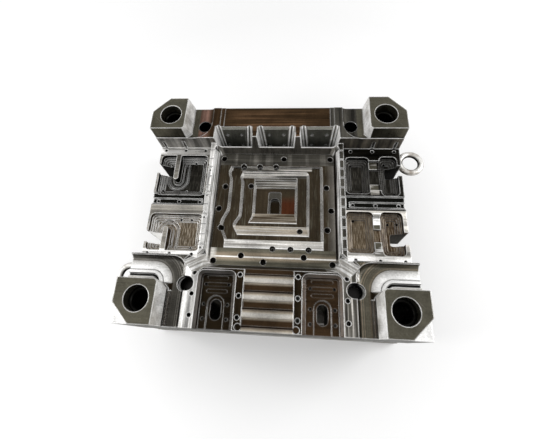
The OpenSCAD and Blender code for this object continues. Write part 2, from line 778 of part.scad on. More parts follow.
// Drilled holes that the screws, pins and pillars share with other pieces
module block_drilling() {
  for (x = [-bush_x, bush_x], y = [-bush_y, bush_y]) {
    post(x, y, block_z - over, top_z + over, bush_od + 2 * seat_gap);
    post(x, y, block_z - over, block_z + bush_head_h + seat_gap, bush_head_d + 2 * seat_gap);
  }
  for (p = pin_places) post(p[0], p[1], block_z - over, floor_z, pin_d + 2 * slide_gap);
  for (p = return_places) {
    post(p[0], p[1], block_z - over, deck_z + over, return_d + 2 * slide_gap);
    post(p[0], p[1], block_z - over, block_z + spring_pocket, spring_od + spring_room);
  }
  for (p = guide_places) post(p[0], p[1], block_z - over, block_z + guide_socket, guide_d + 2 * seat_gap);
  for (p = insert_screw_places)
    post(p[0], p[1], seat_z - insert_grip - 4, seat_z + over, insert_screw_d + 2 * seat_gap);
  for (s = [-1, 1], y = clamp_screw_y)
    post(s * rail_mid, y, block_z - over, block_z + clamp_screw_grip + 5, clamp_screw_d + 2 * seat_gap);
  for (s = [-1, 1], y = dowel_y)
    post(s * rail_mid, y, block_z - over, block_z + dowel_grip, dowel_d + 2 * seat_gap);
  for (p = pillar_places)
    post(p[0], p[1], block_z - over, block_z + pillar_screw_grip + screw_sink, pillar_screw_d + 2 * seat_gap);
  for (span = slot_spans, side = [0, 1], rise = wear_screw_rise)
    on_slot_face(side == 0 ? span[0] + wear_screw_inset : span[1] - wear_screw_inset, rise)
      cylinder(h = wear_screw_len + 4, d = wear_screw_d + 2 * seat_gap);
  for (s = [-1, 1]) translate([s * half_w, s * eye_y, eye_z]) rotate([0, -90 * s, 0])
    translate([0, 0, -over]) cylinder(h = eye_thread_len + 6 + over, d = eye_thread_d + 2 * slide_gap);
}

// Holder block: the body of the mould half
module holder_block() {
  color("dimgray") difference() {
    union() {
      difference() {
        edge_box(-half_w, half_w, -half_d, half_d, block_z, deck_z);
        both_sides() {
          corner_channel(channel_in, channel_rear, channel_r, channel_depth, channel_band);
          mirror([0, 1, 0]) corner_channel(moat_in, -recess_rear, moat_r, moat_depth, moat_band);
        }
      }
      both_sides() {
        rear_boss();
        mirror([0, 1, 0]) rear_boss();
        boss_foot();
        boss_skirt();
      }
    }
    main_pocket();
    round_pocket(-pocket_half_w, pocket_half_w, pocket_front, pocket_rear, pocket_corner_r, seat_z,
      floor_z + over);
    for (span = slot_spans) rear_slot(span[0], span[1]);
    both_sides() {
      side_recess();
      corner_fan();
      front_pocket();
      for (x = strip_hole_x, y = strip_hole_y)
        post(x, y, deck_z - strip_hole_depth, deck_z + over, strip_hole_d);
      post(strip_mark_x, strip_mark_inset - half_d, deck_z - strip_mark_inset, deck_z + over, strip_mark_d);
    }
    right_pockets();
    mirror([1, 0, 0]) left_pockets();
    front_ramp();
    // Broad track behind the rear wall, with a shallower step along its sides
    edge_box(-track_half_w, track_half_w, pocket_rear, half_d + over, deck_z - track_depth, deck_z + over);
    edge_box(-track_half_w - track_step, track_half_w + track_step, pocket_rear, half_d + over,
      deck_z - track_depth / 2, deck_z + over);
    // Wider mouth of the front return pin holes
    both_sides() translate([return_places[2][0], return_front_y])
      round_pocket(-return_mouth_half_w, return_mouth_half_w, -return_d / 2, return_d / 2, return_d / 2 - 0.5,
        deck_z - channel_depth - return_mouth, deck_z + over);
    block_drilling();
  }
}

// Smooth lobe that is 1 at t = 0 and 0 from t = 1
function lobe(t) = abs(t) < 1 ? (1 + cos(180 * t)) / 2 : 0;

// How far the left edge of a terrace lies from the middle at a given y, once its lobes are added up
function wave_at(left, lobes, y, i = 0) = i == len(lobes) ? left :
  lobes[i][2] * lobe((y - lobes[i][0]) / lobes[i][1]) + wave_at(left, lobes, y, i + 1);

// Flat outline of one terrace, with its left and right edges moved in by d
module terrace_outline(t, left, lobes, d) {
  x1 = t[0] - d;
  y1 = t[3];
  r = t[6];
  polygon(concat([[x1, t[1]]],
    [for (a = [0:15:90]) [x1 - r + r * cos(a), y1 - r + r * sin(a)]],
    [for (i = [wave_steps:-1:0]) let (y = t[1] + (y1 - t[1]) * i / wave_steps)
      [d - wave_at(left, lobes, y), y]]));
}

// Well for one terrace: a ramp at the front, steps at the rear and sloping sides
module terrace_well(t, left, lobes) {
  z0 = floor_z - t[7] * terrace_step;
  z1 = z0 + terrace_step;
  n = t[5];
  slice = terrace_step / terrace_slices;
  tread = (t[3] - t[4]) / n;
  riser = terrace_step / n;
  intersection() {
    along_x(-pocket_half_w, pocket_half_w) polygon(concat([[t[1], z1 + over], [t[1], z1], [t[2], z0]],
      [for (i = [0:n - 1], k = [0, 1]) [t[4] + (i + 0.5) * tread, z0 + (i + k) * riser]],
      [[t[3], z1], [t[3], z1 + over]]));
    union() {
      for (i = [0:terrace_slices - 1])
        translate([0, 0, z0 + i * slice]) linear_extrude(z1 + over - z0 - i * slice)
          terrace_outline(t, left, lobes, (terrace_slices - 1 - i) * slice);
    }
  }
}

// Recess with a square front and a rounded rear, cut below the innermost terrace
module centre_recess(b, drop, depth) {
  z0 = floor_z - 3 * terrace_step;
  r = min((b[1] - b[0]) / 2 - 0.2, drop > 0 ? pit_box[1] : recess_r);
  round_pocket(b[0], b[1], b[2] + over, b[3], r, z0 - drop - depth, z0 + over);
  edge_box(b[0], b[1], b[2], b[2] + 2 * r, z0 - drop - depth, z0 + over);
}

// Stepped cavity insert that fills the floor of the main pocket
module cavity_insert() {
  color("gray") difference() {
    round_pocket(-pocket_half_w + seat_gap, pocket_half_w - seat_gap, pocket_front + seat_gap,
      pocket_rear - seat_gap, pocket_corner_r, seat_z, floor_z);
    for (i = [0:2]) terrace_well(terraces[i], terrace_left[i], terrace_lobes[i]);
    centre_recess(recess_box, 0, recess_depth);
    centre_recess(pit_box, recess_depth, pit_depth);
    for (p = insert_screw_places) {
      post(p[0], p[1], seat_z - over, floor_z + over, insert_screw_d + 2 * seat_gap);
      post(p[0], p[1], floor_z - insert_head_drop - insert_head_h, floor_z + over, insert_bore_d);
    }
    for (p = pin_places) post(p[0], p[1], seat_z - over, floor_z + over, pin_d + 2 * slide_gap);
  }
}

// Socket head screw standing on its shank, head at the top with a hexagon socket
module socket_screw(d, shank, head_d, head_h) {
  difference() {
    union() {
      cylinder(h = shank + 0.01, d = d);
      translate([0, 0, shank]) cylinder(h = head_h, d = head_d);
    }
    translate([0, 0, shank + head_h * 0.4]) cylinder(h = head_h, d = d * 0.9, $fn = 6);
  }
}

// Six screws that hold the cavity insert
module insert_screws() {
  shank = floor_z - insert_head_drop - insert_head_h - seat_z + insert_grip;
  color("silver") for (p = insert_screw_places)
    translate([p[0], p[1], seat_z - insert_grip])
      socket_screw(insert_screw_d, shank, insert_head_d, insert_head_h);
}

// Screws of the three wear plates
module wear_plate_screws() {
  color("silver") for (span = slot_spans, side = [0, 1], rise = wear_screw_rise)
    on_slot_face(side == 0 ? span[0] + wear_screw_inset : span[1] - wear_screw_inset, rise)
      translate([0, 0, wear_screw_len]) mirror([0, 0, 1])
        socket_screw(wear_screw_d, wear_screw_len - wear_head_h, wear_head_d, wear_head_h - 0.5);
}

// Guide bush with a head at its lower end and a rounded mouth
module guide_bush(sx, sy) {
  z0 = block_z;
  z1 = top_z - bush_recess;
  r0 = bush_id / 2;
  r1 = bush_od / 2;
  lead = 4;
  color("silver") translate([sx * bush_x, sy * bush_y, 0]) rotate_extrude()
    polygon([[r0, z0], [bush_head_d / 2, z0], [bush_head_d / 2, z0 + bush_head_h], [r1, z0 + bush_head_h],
      [r1, z1 - lead / 2], [r1 - lead / 2, z1], [r0 + lead, z1], [r0, z1 - lead]]);
}

// Forged ring bolt screwed into the side of the block
module eye_bolt(s) {
  collar = 12;
  collar_r = eye_collar_d / 2;
  neck_r = eye_ring_t / 2;
  color("silver") translate([s * half_w, s * eye_y, eye_z]) rotate([0, 0, s > 0 ? 0 : 180]) union() {
    rotate([0, -90, 0]) cylinder(h = eye_thread_len, d = eye_thread_d);
    rotate([0, 90, 0]) rotate_extrude()
      polygon([[0, 0], [collar_r, 0], [collar_r, collar - 3], [collar_r - 3, collar], [neck_r + 6, collar + 6],
        [neck_r, collar + 12], [0, collar + 12]]);
    translate([eye_ring_reach, 0, 0]) rotate_extrude()
      translate([eye_ring_r, 0]) circle(d = eye_ring_t, $fn = 32);
  }
}

// Rail that carries the holder block on one side
module rail(s) {
  color("dimgray") difference() {
    edge_box(min(s * rail_x, s * (rail_x + rail_w)), max(s * rail_x, s * (rail_x + rail_w)), -half_d, half_d,
      clamp_t, block_z);
    for (y = clamp_screw_y)
      post(s * rail_mid, y, clamp_t - over, block_z + over, clamp_screw_d + 2 * clamp_clear);
    for (y = dowel_y) post(s * rail_mid, y, clamp_t - over, block_z + over, dowel_d + 2 * seat_gap);
  }
}

// Clamp plate that bolts to the machine
module clamp_plate() {
  color("dimgray") difference() {
    edge_box(-half_w, half_w, -half_d, half_d, 0, clamp_t);
    post(0, 0, -over, clamp_t + over, rod_hole_d);
    for (s = [-1, 1], y = clamp_screw_y) {
      post(s * rail_mid, y, -over, clamp_t + over, clamp_screw_d + 2 * clamp_clear);
      post(s * rail_mid, y, -over, clamp_head_drop + clamp_head_h, clamp_head_d + head_room);
    }
    for (s = [-1, 1], y = dowel_y)
      post(s * rail_mid, y, clamp_t - dowel_grip, clamp_t + over, dowel_d + 2 * seat_gap);
    for (p = pillar_places) {
      post(p[0], p[1], -over, clamp_t + over, pillar_screw_d + 2 * clamp_clear);
      post(p[0], p[1], -over, pillar_screw_d + screw_sink, pillar_head_d + head_room);
    }
    for (p = guide_places) post(p[0], p[1], clamp_t - guide_seat, clamp_t + over, guide_d + 2 * seat_gap);
    for (s = [-1, 1], y = clamp_bolt_y) {
      translate([0, 0, -over]) linear_extrude(clamp_t + 2 * over) union() {
        translate([s * (half_w - clamp_slot_len), y]) circle(d = clamp_slot_w);
        translate([s > 0 ? half_w - clamp_slot_len : -half_w - over, y - clamp_slot_w / 2])
          square([clamp_slot_len + over, clamp_slot_w]);
      }
    }
  }
}

// Screws from the clamp plate through the rails into the block
module clamp_screws() {
  z0 = clamp_head_drop + clamp_head_h;
  color("silver") for (s = [-1, 1], y = clamp_screw_y)
    translate([s * rail_mid, y, block_z + clamp_screw_grip]) mirror([0, 0, 1])
      socket_screw(clamp_screw_d, block_z + clamp_screw_grip - z0, clamp_head_d, clamp_head_h);
}

// Dowels that line the rails up with the block and the clamp plate
module rail_dowels() {
  color("silver") for (s = [-1, 1], y = dowel_y)
    post(s * rail_mid, y, clamp_t - dowel_grip, block_z + dowel_grip, dowel_d);
}

// Pillars that hold the block up in the middle of the ejector box
module support_pillars() {
  color("dimgray") for (p = pillar_places) difference() {
    post(p[0], p[1], clamp_t, block_z, pillar_d);
    post(p[0], p[1], clamp_t - over, block_z + over, pillar_screw_d + 2 * clamp_clear);
  }
}

// Screws of the support pillars
module pillar_screws() {
  z0 = pillar_screw_d + screw_sink;
  z1 = block_z + pillar_screw_grip;
  color("silver") for (p = pillar_places)
    translate([p[0], p[1], z1]) mirror([0, 0, 1])
      socket_screw(pillar_screw_d, z1 - z0, pillar_head_d, pillar_screw_d);
}

// Buttons that the ejector plates rest on
module stop_buttons() {
  color("silver") for (p = stop_places) post(p[0], p[1], clamp_t, ejector_z, stop_d);
}

// Pillars that guide the ejector plates
module ejector_guide_pillars() {
  color("silver") for (p = guide_places)
    post(p[0], p[1], clamp_t - guide_seat, block_z + guide_socket, guide_d);
}

// Bushes in the ejector plates that run on the guide pillars
module ejector_guide_bushes() {
  color("goldenrod") for (p = guide_places) difference() {
    union() {
      post(p[0], p[1], ejector_z, plates_top_z, guide_bush_d);
      post(p[0], p[1], retainer_z - guide_head_h, retainer_z, guide_flange_d);
    }
    post(p[0], p[1], ejector_z - over, plates_top_z + over, guide_d + 2 * slide_gap);
  }
}

// Holes that both ejector plates share
module plate_holes(z0, z1) {
  for (p = pillar_places) post(p[0], p[1], z0 - over, z1 + over, pillar_d + 2 * pillar_gap);
  for (p = guide_places) post(p[0], p[1], z0 - over, z1 + over, guide_bush_d + 2 * seat_gap);
}

// Lower ejector plate
module ejector_plate() {
  color("dimgray") difference() {
    edge_box(-ejector_half_w, ejector_half_w, -ejector_half_d, ejector_half_d, ejector_z, retainer_z);
    plate_holes(ejector_z, retainer_z);
    for (p = guide_places)
      post(p[0], p[1], retainer_z - guide_head_h, retainer_z + over, guide_flange_d + 2 * seat_gap);
    for (p = plate_screw_places) {
      post(p[0], p[1], ejector_z - over, retainer_z + over, plate_screw_d + 2 * clamp_clear);
      post(p[0], p[1], ejector_z - over, ejector_z + plate_screw_d + screw_sink, plate_head_d + head_room);
    }
    post(0, 0, ejector_z - over, ejector_z + rod_socket_depth, rod_socket_d);
  }
}

// Upper ejector plate that traps the heads of the pins
module ejector_retainer_plate() {
  color("dimgray") difference() {
    edge_box(-ejector_half_w, ejector_half_w, -ejector_half_d, ejector_half_d, retainer_z, plates_top_z);
    plate_holes(retainer_z, plates_top_z);
    for (p = pin_places) {
      post(p[0], p[1], retainer_z - over, plates_top_z + over, pin_d + pin_room);
      post(p[0], p[1], retainer_z - over, retainer_z + pin_head_h + seat_gap, pin_head_d + pin_room);
    }
    for (p = return_places) {
      post(p[0], p[1], retainer_z - over, plates_top_z + over, return_d + pin_room);
      post(p[0], p[1], retainer_z - over, retainer_z + return_head_h + seat_gap, return_head_d + pin_room);
    }
    for (p = plate_screw_places)
      post(p[0], p[1], retainer_z - over, plates_top_z - plate_screw_cover + 2, plate_screw_d + 2 * seat_gap);
  }
}

// Screws that hold the two ejector plates together
module ejector_plate_screws() {
  z0 = ejector_z + plate_screw_d + screw_sink;
  z1 = plates_top_z - plate_screw_cover;
  color("silver") for (p = plate_screw_places)
    translate([p[0], p[1], z1]) mirror([0, 0, 1])
      socket_screw(plate_screw_d, z1 - z0, plate_head_d, plate_screw_d);
}

// Ejector pins with their heads in the retainer plate
module ejector_pins() {
  color("silver") for (p = pin_places) union() {
    post(p[0], p[1], retainer_z, floor_z - pin_recess, pin_d);
    post(p[0], p[1], retainer_z, retainer_z + pin_head_h, pin_head_d);
  }
}

// Return pins that push the ejector plates back when the mould closes
module return_pins() {
  color("silver") for (p = return_places) union() {
    post(p[0], p[1], retainer_z, deck_z - return_recess, return_d);
    post(p[0], p[1], retainer_z, retainer_z + return_head_h, return_head_d);
  }
}

// Round wire wound into a closed and ground compression spring
module spring(x, y) {
  steps = 12 * spring_turns;
  sides = 6;
  r = (spring_od - spring_wire) / 2;
  low = plates_top_z + spring_wire / 2 + spring_gap;
  high = block_z + spring_pocket - spring_wire / 2 - spring_gap;
  ring = [for (i = [0:steps], j = [0:sides - 1])
    let (t = i / steps, a = 360 * spring_turns * t, b = 360 * j / sides, reach = r + spring_wire / 2 * cos(b))
      [x + reach * cos(a), y + reach * sin(a), low + (high - low) * t + spring_wire / 2 * sin(b)]];
  walls = [for (i = [0:steps - 1], j = [0:sides - 1]) let (k = (j + 1) % sides)
    [i * sides + j, i * sides + k, (i + 1) * sides + k, (i + 1) * sides + j]];
  polyhedron(points = ring, faces = concat([[for (j = [sides - 1:-1:0]) j]], walls,
    [[for (j = [0:sides - 1]) steps * sides + j]]));
}

// Return springs round the return pins
module return_springs() {
  color("steelblue") for (p = return_places) spring(p[0], p[1]);
}

holder_block();
cavity_insert();
insert_screws();
wear_plate(slot_spans[0][0], slot_spans[0][1]);  // wear_plate_left
wear_plate(slot_spans[1][0], slot_spans[1][1]);  // wear_plate_centre
wear_plate(slot_spans[2][0], slot_spans[2][1]);  // wear_plate_right
wear_plate_screws();
guide_bush(-1, -1);  // guide_bush_front_left
guide_bush(1, -1);  // guide_bush_front_right
guide_bush(-1, 1);  // guide_bush_rear_left
guide_bush(1, 1);  // guide_bush_rear_right
eye_bolt(1);  // eye_bolt_right
eye_bolt(-1);  // eye_bolt_left
rail(-1);  // rail_left
rail(1);  // rail_right
clamp_plate();
clamp_screws();
rail_dowels();
support_pillars();
pillar_screws();
stop_buttons();
ejector_guide_pillars();
ejector_guide_bushes();
ejector_plate();
ejector_retainer_plate();
ejector_plate_screws();
ejector_pins();
return_pins();
return_springs();
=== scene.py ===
import math

import bpy
from mathutils import Matrix, Vector


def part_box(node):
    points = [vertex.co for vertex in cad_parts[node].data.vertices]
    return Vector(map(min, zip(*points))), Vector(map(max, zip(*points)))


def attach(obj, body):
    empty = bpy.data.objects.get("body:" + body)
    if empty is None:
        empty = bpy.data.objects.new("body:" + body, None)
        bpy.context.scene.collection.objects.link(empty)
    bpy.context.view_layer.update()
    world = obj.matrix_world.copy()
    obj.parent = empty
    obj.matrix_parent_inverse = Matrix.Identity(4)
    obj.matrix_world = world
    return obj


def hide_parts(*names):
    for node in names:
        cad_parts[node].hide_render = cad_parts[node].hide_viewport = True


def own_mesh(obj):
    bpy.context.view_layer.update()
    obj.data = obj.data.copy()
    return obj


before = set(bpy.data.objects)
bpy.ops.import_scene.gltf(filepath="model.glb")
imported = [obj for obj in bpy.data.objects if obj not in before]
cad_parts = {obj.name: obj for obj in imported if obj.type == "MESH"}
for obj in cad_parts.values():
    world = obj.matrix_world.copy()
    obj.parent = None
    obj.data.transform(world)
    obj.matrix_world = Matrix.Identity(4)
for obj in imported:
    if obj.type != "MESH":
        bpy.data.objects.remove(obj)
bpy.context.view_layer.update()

# Levels and edges of the block in metres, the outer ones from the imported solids
BLOCK_LOW, BLOCK_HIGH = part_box("holder_block")
INSERT_LOW, INSERT_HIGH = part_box("cavity_insert")
TOP_Z = BLOCK_HIGH.z
DECK_Z = TOP_Z - 0.078
RIB_Z = TOP_Z - 0.125
LEDGE_Z = TOP_Z - 0.173
FLOOR_Z = INSERT_HIGH.z
HALF_W = BLOCK_HIGH.x
HALF_D = BLOCK_HIGH.y
# Ledges at the sides, between the main pocket and the outer faces
RECESS_IN = 0.312
RECESS_FRONT = -0.222
RECESS_REAR = 0.332
# Rear wall of the main pocket and the strips in front of it
REAR_WALL_Y = 0.308
FRONT_Y = -0.238
# Front ramps of the three terraces, front and rear edge of each
NEAR_RAMPS = ((-0.163, -0.120), (-0.101, -0.052), (-0.040, 0.013))
# Rear steps of the three terraces, foot and rim of each
REAR_STEPS = ((0.232, 0.245), (0.200, 0.222), (0.138, 0.197))
TERRACE_H = 0.013
# Centre of the lowest floor, front and rear
CENTRE_Y = (0.013, 0.138)
# Ribbed ramp between the front pockets, and the place within one rib of the painted highlight on its crest
RAMP_HALF_W = 0.097
RAMP_PITCH = 0.064
RAMP_START = INSERT_LOW.y - 0.020
RAMP_CREST = 0.85
# Channels and skirts round the front bosses
CHANNEL_IN = 0.335
CHANNEL_REAR = -0.229
CHANNEL_FLOOR = DECK_Z - 0.024
SKIRT_X = 0.475
SKIRT_Y = -0.334
SKIRT_W = 0.084
FAN_OUT = 0.350
BOSS_IN = 0.403
BOSS_IN_Y = 0.334
# Return pin holes, the rear pair and the front pair, and the radius inside which they are painted black as
# shade
RETURN_PLACES = ((0.344, HALF_D - 0.102), (0.333, 0.164 - HALF_D))
RETURN_HOLE_R = 0.031
# Middle of the eye bolts' rings and the radius of their holes, round which the rings are painted dark as
# shade
EYE_X = 0.640
EYE_Y = 0.293
EYE_HOLE_R = 0.035

# Masks end this far from the next level, and this far inside the outer faces
CLEAR = 0.001
INSET = 0.0006
# Half width of the soft edge of a mask that goes by place
SOFT = 0.0005
# Share of a face's normal along an axis from which the face counts as turned that way
LEVEL_FACE = 0.8
FACING = 0.7
SIDE_FACE = 0.6
# Half width of the soft edge of a mask that goes by the normal, for wide and narrow edges
TURN = 0.1
HARD_TURN = 0.05
# Cutter marks to the metre across the feed and along it, fine ones and broad ones
FEED_MARKS = ((420.0, 6.0), (55.0, 2.5))
# Rings to the metre on turned steel
TURNED_RINGS = 900.0
# Roughness of every noise
NOISE_ROUGHNESS = 0.55
# Share of the rounded normal along the true one, at full strength of the painted edge highlight and where it
# ends
ARRIS_FULL = 0.90
ARRIS_END = 0.998
ARRIS_SAMPLES = 6
# Metal share of bare steel, and of satin faces and painted edge highlights
METAL = 0.85
SATIN_METAL = 0.12
# Strength and tint of the highlight on all steel
SPECULAR = 0.2
SPECULAR_TINT = (0.45, 0.44, 0.42, 1.0)

# Return springs: turns, radius at the middle of the wire and radius of the wire
SPRING_TURNS = 7
SPRING_R = 0.0405
SPRING_WIRE_R = 0.0045
# Rings of the wire's mesh in one turn, and corners of a ring
SPRING_STEPS = 24
SPRING_SIDES = 12

# Light of the sky on the object
SKY_LIGHT = 0.6
# Floor: half its width, its paint, and the glow that brings it up to white near the mould and far from it
FLOOR_REACH = 12.0
FLOOR_PAINT = (0.93, 0.93, 0.93, 1.0)
FLOOR_ROUGHNESS = 0.9
FLOOR_GLOW = 0.08
FAR_GLOW = 0.50
NEAR_REACH = 1.7
FAR_REACH = 5.0

# Colours of the steel, as the photograph shows them, and colours of painted highlights, painted shade and a
# painted reflection
# Black of painted shade in the return pin holes, the ledge groove, the notch walls and a ring round each
# front boss
SHADE_BLACK = (0.004, 0.004, 0.003)
# Dark steel, also painted shade at the feet of walls and bosses, in the small centre pocket and in the eye
# bolts' holes
DARK_STEEL_AND_SHADE = (0.012, 0.008, 0.004)
# Near black of painted shade in the ledge pockets and on the right ledge top
NEAR_BLACK_STEEL = (0.011, 0.010, 0.008)
TREAD_STEEL = (0.028, 0.021, 0.013)
BROWN_STEEL = (0.034, 0.020, 0.010)
WARM_STEEL = (0.105, 0.060, 0.032)
EARTH_STEEL = (0.066, 0.049, 0.031)
CLAY_STEEL = (0.190, 0.155, 0.112)
OLIVE_STEEL = (0.074, 0.069, 0.052)
SLATE_STEEL = (0.048, 0.045, 0.038)
GREY_STEEL = (0.170, 0.160, 0.142)
TAN_STEEL = (0.300, 0.262, 0.208)
LIGHT_STEEL = (0.420, 0.402, 0.370)
PALE_STEEL = (0.680, 0.668, 0.645)
# White of painted highlights on edges, wall streaks, slot grooves, skirts and step tops
HIGHLIGHT_WHITE = (0.930, 0.925, 0.910)
# Red of a painted reflection on the lowest floor
RED_REFLECTION = (0.045, 0.014, 0.006)
PINK_STEEL = (0.150, 0.088, 0.068)
WEAR_STEEL = (0.170, 0.170, 0.145)
# Guide bushes near black, as painted shade in their bores
BUSH_STEEL = (0.010, 0.010, 0.009)
PIN_STEEL = (0.22, 0.22, 0.21)
# Ejector and return pins near black, as painted shade in the holes they stand in
NEAR_BLACK_PIN_STEEL = (0.020, 0.019, 0.018)
SCREW_STEEL = (0.016, 0.015, 0.014)
SPRING_STEEL = (0.07, 0.07, 0.075)
BRONZE = (0.45, 0.27, 0.09)
ZINC = (0.76, 0.75, 0.72)
RUST = (0.16, 0.11, 0.07)


class Graph:
    """A material's node tree, built from short calls that return sockets."""

    def __init__(self, name):
        self.material = bpy.data.materials.new(name)
        self.material.use_nodes = True
        self.tree = self.material.node_tree
        self.tree.nodes.clear()
        out = self.node("ShaderNodeOutputMaterial")
        self.shader = self.node("ShaderNodeBsdfPrincipled")
        self.link(self.shader.outputs[0], out.inputs[0])
        coord = self.node("ShaderNodeTexCoord")
        self.place = coord.outputs["Object"]
        self.x, self.y, self.z = self.split(self.place)
        self.nx, self.ny, self.nz = self.split(coord.outputs["Normal"])

    def node(self, kind, **settings):
        made = self.tree.nodes.new(kind)
        for key, value in settings.items():
            setattr(made, key, value)
        return made

    def link(self, source, target):
        self.tree.links.new(source, target)

    def feed(self, target, value):
        if isinstance(value, bpy.types.NodeSocket):
            self.link(value, target)
        elif isinstance(value, tuple) and len(value) == 3 and target.type == "RGBA":
            target.default_value = (*value, 1.0)
        else:
            target.default_value = value

    def split(self, vector):
        made = self.node("ShaderNodeSeparateXYZ")
        self.link(vector, made.inputs[0])
        return made.outputs[0], made.outputs[1], made.outputs[2]

    def join(self, x, y, z):
        made = self.node("ShaderNodeCombineXYZ")
        for target, value in zip(made.inputs, (x, y, z)):
            self.feed(target, value)
        return made.outputs[0]

    def math(self, operation, first, second=0.0):
        made = self.node("ShaderNodeMath", operation=operation)
        self.feed(made.inputs[0], first)
        self.feed(made.inputs[1], second)
        return made.outputs[0]

    def above(self, value, limit, soft=SOFT):
        """1 where value is above limit, with a soft edge."""
        made = self.node("ShaderNodeMapRange", clamp=True)
        self.feed(made.inputs["Value"], value)
        self.feed(made.inputs["From Min"], limit - soft)
        self.feed(made.inputs["From Max"], limit + soft)
        return made.outputs["Result"]

    def below(self, value, limit, soft=SOFT):
        return self.math("SUBTRACT", 1.0, self.above(value, limit, soft))

    def between(self, value, low, high, soft=SOFT):
        return self.math("MULTIPLY", self.above(value, low, soft), self.below(value, high, soft))

    def both(self, *masks):
        result = masks[0]
        for mask in masks[1:]:
            result = self.math("MULTIPLY", result, mask)
        return result

    def wave(self, turns):
        """1 where turns is a whole number, 0 half way between."""
        swing = self.math("COSINE", self.math("MULTIPLY", turns, 2.0 * math.pi))
        return self.rise(swing, low=-0.60, high=0.95)

    def either(self, first, second):
        return self.math("MAXIMUM", first, second)

    def blend(self, mask, off, on):
        """Number off where mask is 0, and on where it is 1."""
        made = self.node("ShaderNodeMix", data_type="FLOAT")
        self.feed(made.inputs[0], mask)
        self.feed(made.inputs[2], off)
        self.feed(made.inputs[3], on)
        return made.outputs[0]

    def colour(self, mask, off, on):
        """Colour off where mask is 0, and on where it is 1."""
        made = self.node("ShaderNodeMix", data_type="RGBA")
        self.feed(made.inputs[0], mask)
        self.feed(made.inputs[6], off)
        self.feed(made.inputs[7], on)
        return made.outputs[2]

    def scale_colour(self, colour, factor):
        made = self.node("ShaderNodeMix", data_type="RGBA", blend_type="MULTIPLY")
        made.inputs[0].default_value = 1.0
        self.feed(made.inputs[6], colour)
        self.link(self.grey(factor), made.inputs[7])
        return made.outputs[2]

    def grey(self, value):
        made = self.node("ShaderNodeCombineColor")
        for target in made.inputs:
            self.feed(target, value)
        return made.outputs[0]

    def noise(self, vector, scale, detail=3.0):
        made = self.node("ShaderNodeTexNoise")
        self.link(vector, made.inputs["Vector"])
        made.inputs["Scale"].default_value = scale
        made.inputs["Detail"].default_value = detail
        made.inputs["Roughness"].default_value = NOISE_ROUGHNESS
        return made.outputs[0]

    def spread(self, value, low, high, to_low, to_high):
        """to_low where value is low, to_high where it is high, and even between them."""
        made = self.node("ShaderNodeMapRange", clamp=True)
        self.feed(made.inputs["Value"], value)
        for key, number in (("From Min", low), ("From Max", high), ("To Min", to_low), ("To Max", to_high)):
            made.inputs[key].default_value = number
        return made.outputs["Result"]

    def rise(self, value, low, high):
        """0 where value is low, 1 where it is high."""
        return self.spread(value, low, high, 0.0, 1.0)

    def fall(self, value, low, high):
        """1 where value is low, 0 where it is high."""
        return self.spread(value, low, high, 1.0, 0.0)

    def feed_marks(self, along_y):
        """Cutter marks: a fine and a broad noise, both drawn out along the feed.

        along_y is 1 where a level face was cut with feed along Y. Upright faces are cut with feed along Z.
        """
        level = self.above(self.math("ABSOLUTE", self.nz), LEVEL_FACE, HARD_TURN)
        side = self.above(self.math("ABSOLUTE", self.nx), SIDE_FACE, HARD_TURN)
        wall_across = self.blend(side, self.x, self.y)
        level_across = self.blend(along_y, self.y, self.x)
        level_along = self.blend(along_y, self.x, self.y)
        across = self.blend(level, wall_across, level_across)
        along = self.blend(level, self.z, level_along)
        return [self.drawn_out(across, along, count, drift, self.z) for count, drift in FEED_MARKS]

    def arris(self, radius):
        """1 along the edges of the solid, and the rounded normal that makes it."""
        made = self.node("ShaderNodeBevel", samples=ARRIS_SAMPLES)
        made.inputs["Radius"].default_value = radius
        geometry = self.node("ShaderNodeNewGeometry")
        dot = self.node("ShaderNodeVectorMath", operation="DOT_PRODUCT")
        self.link(made.outputs[0], dot.inputs[0])
        self.link(geometry.outputs["True Normal"], dot.inputs[1])
        return self.fall(dot.outputs["Value"], ARRIS_FULL, ARRIS_END), made.outputs[0]

    def bump(self, height, strength, distance, normal):
        made = self.node("ShaderNodeBump")
        made.inputs["Strength"].default_value = strength
        made.inputs["Distance"].default_value = distance
        self.link(height, made.inputs["Height"])
        self.link(normal, made.inputs["Normal"])
        return made.outputs[0]

    def reach(self, x, y):
        """Distance of a flat place from the origin of x and y."""
        made = self.node("ShaderNodeVectorMath", operation="LENGTH")
        self.link(self.join(x, y, 0.0), made.inputs[0])
        return made.outputs["Value"]

    def drawn_out(self, across, along, count, drift, third):
        """Noise with count grains to the metre across and drift of them along."""
        vector = self.join(self.math("MULTIPLY", across, count), self.math("MULTIPLY", along, drift), third)
        return self.noise(vector, scale=1.0, detail=2.0)

    def lines(self, across, along, count, drift=2.0, low=0.45, high=0.62):
        """Uneven lines side by side along one direction, count of them to the metre."""
        return self.rise(self.drawn_out(across, along, count, drift, 0.0), low, high)

    def metal(self, colour, roughness, normal, metallic=METAL):
        self.feed(self.shader.inputs["Base Color"], colour)
        self.feed(self.shader.inputs["Roughness"], roughness)
        self.feed(self.shader.inputs["Metallic"], metallic)
        self.shader.inputs["Specular IOR Level"].default_value = SPECULAR
        self.shader.inputs["Specular Tint"].default_value = SPECULAR_TINT
        self.link(normal, self.shader.inputs["Normal"])
        return self.material


class Paint:
    """Colour, feed direction, depth of marks, satin finish and painted edge highlights, laid on region by
    region.

    In the functions below, wide is the distance from the middle plane and up is a mask of the level faces.
    """

    def __init__(self, net, colour, marks):
        self.net = net
        self.colour = colour
        self.along_y = 0.0
        self.marks = marks
        self.satin = 0.0
        self.edges = 1.0

    def lay(self, mask, colour, along_y=None, marks=None, satin=None, edges=None):
        """Change what is given where mask is 1, and leave the rest as it is."""
        self.colour = self.net.colour(mask, self.colour, colour)
        if along_y is not None:
            self.along_y = self.net.blend(mask, self.along_y, along_y)
        if marks is not None:
            self.marks = self.net.blend(mask, self.marks, marks)
        if satin is not None:
            self.satin = self.net.blend(mask, self.satin, satin)
        if edges is not None:
            self.edges = self.net.blend(mask, self.edges, edges)


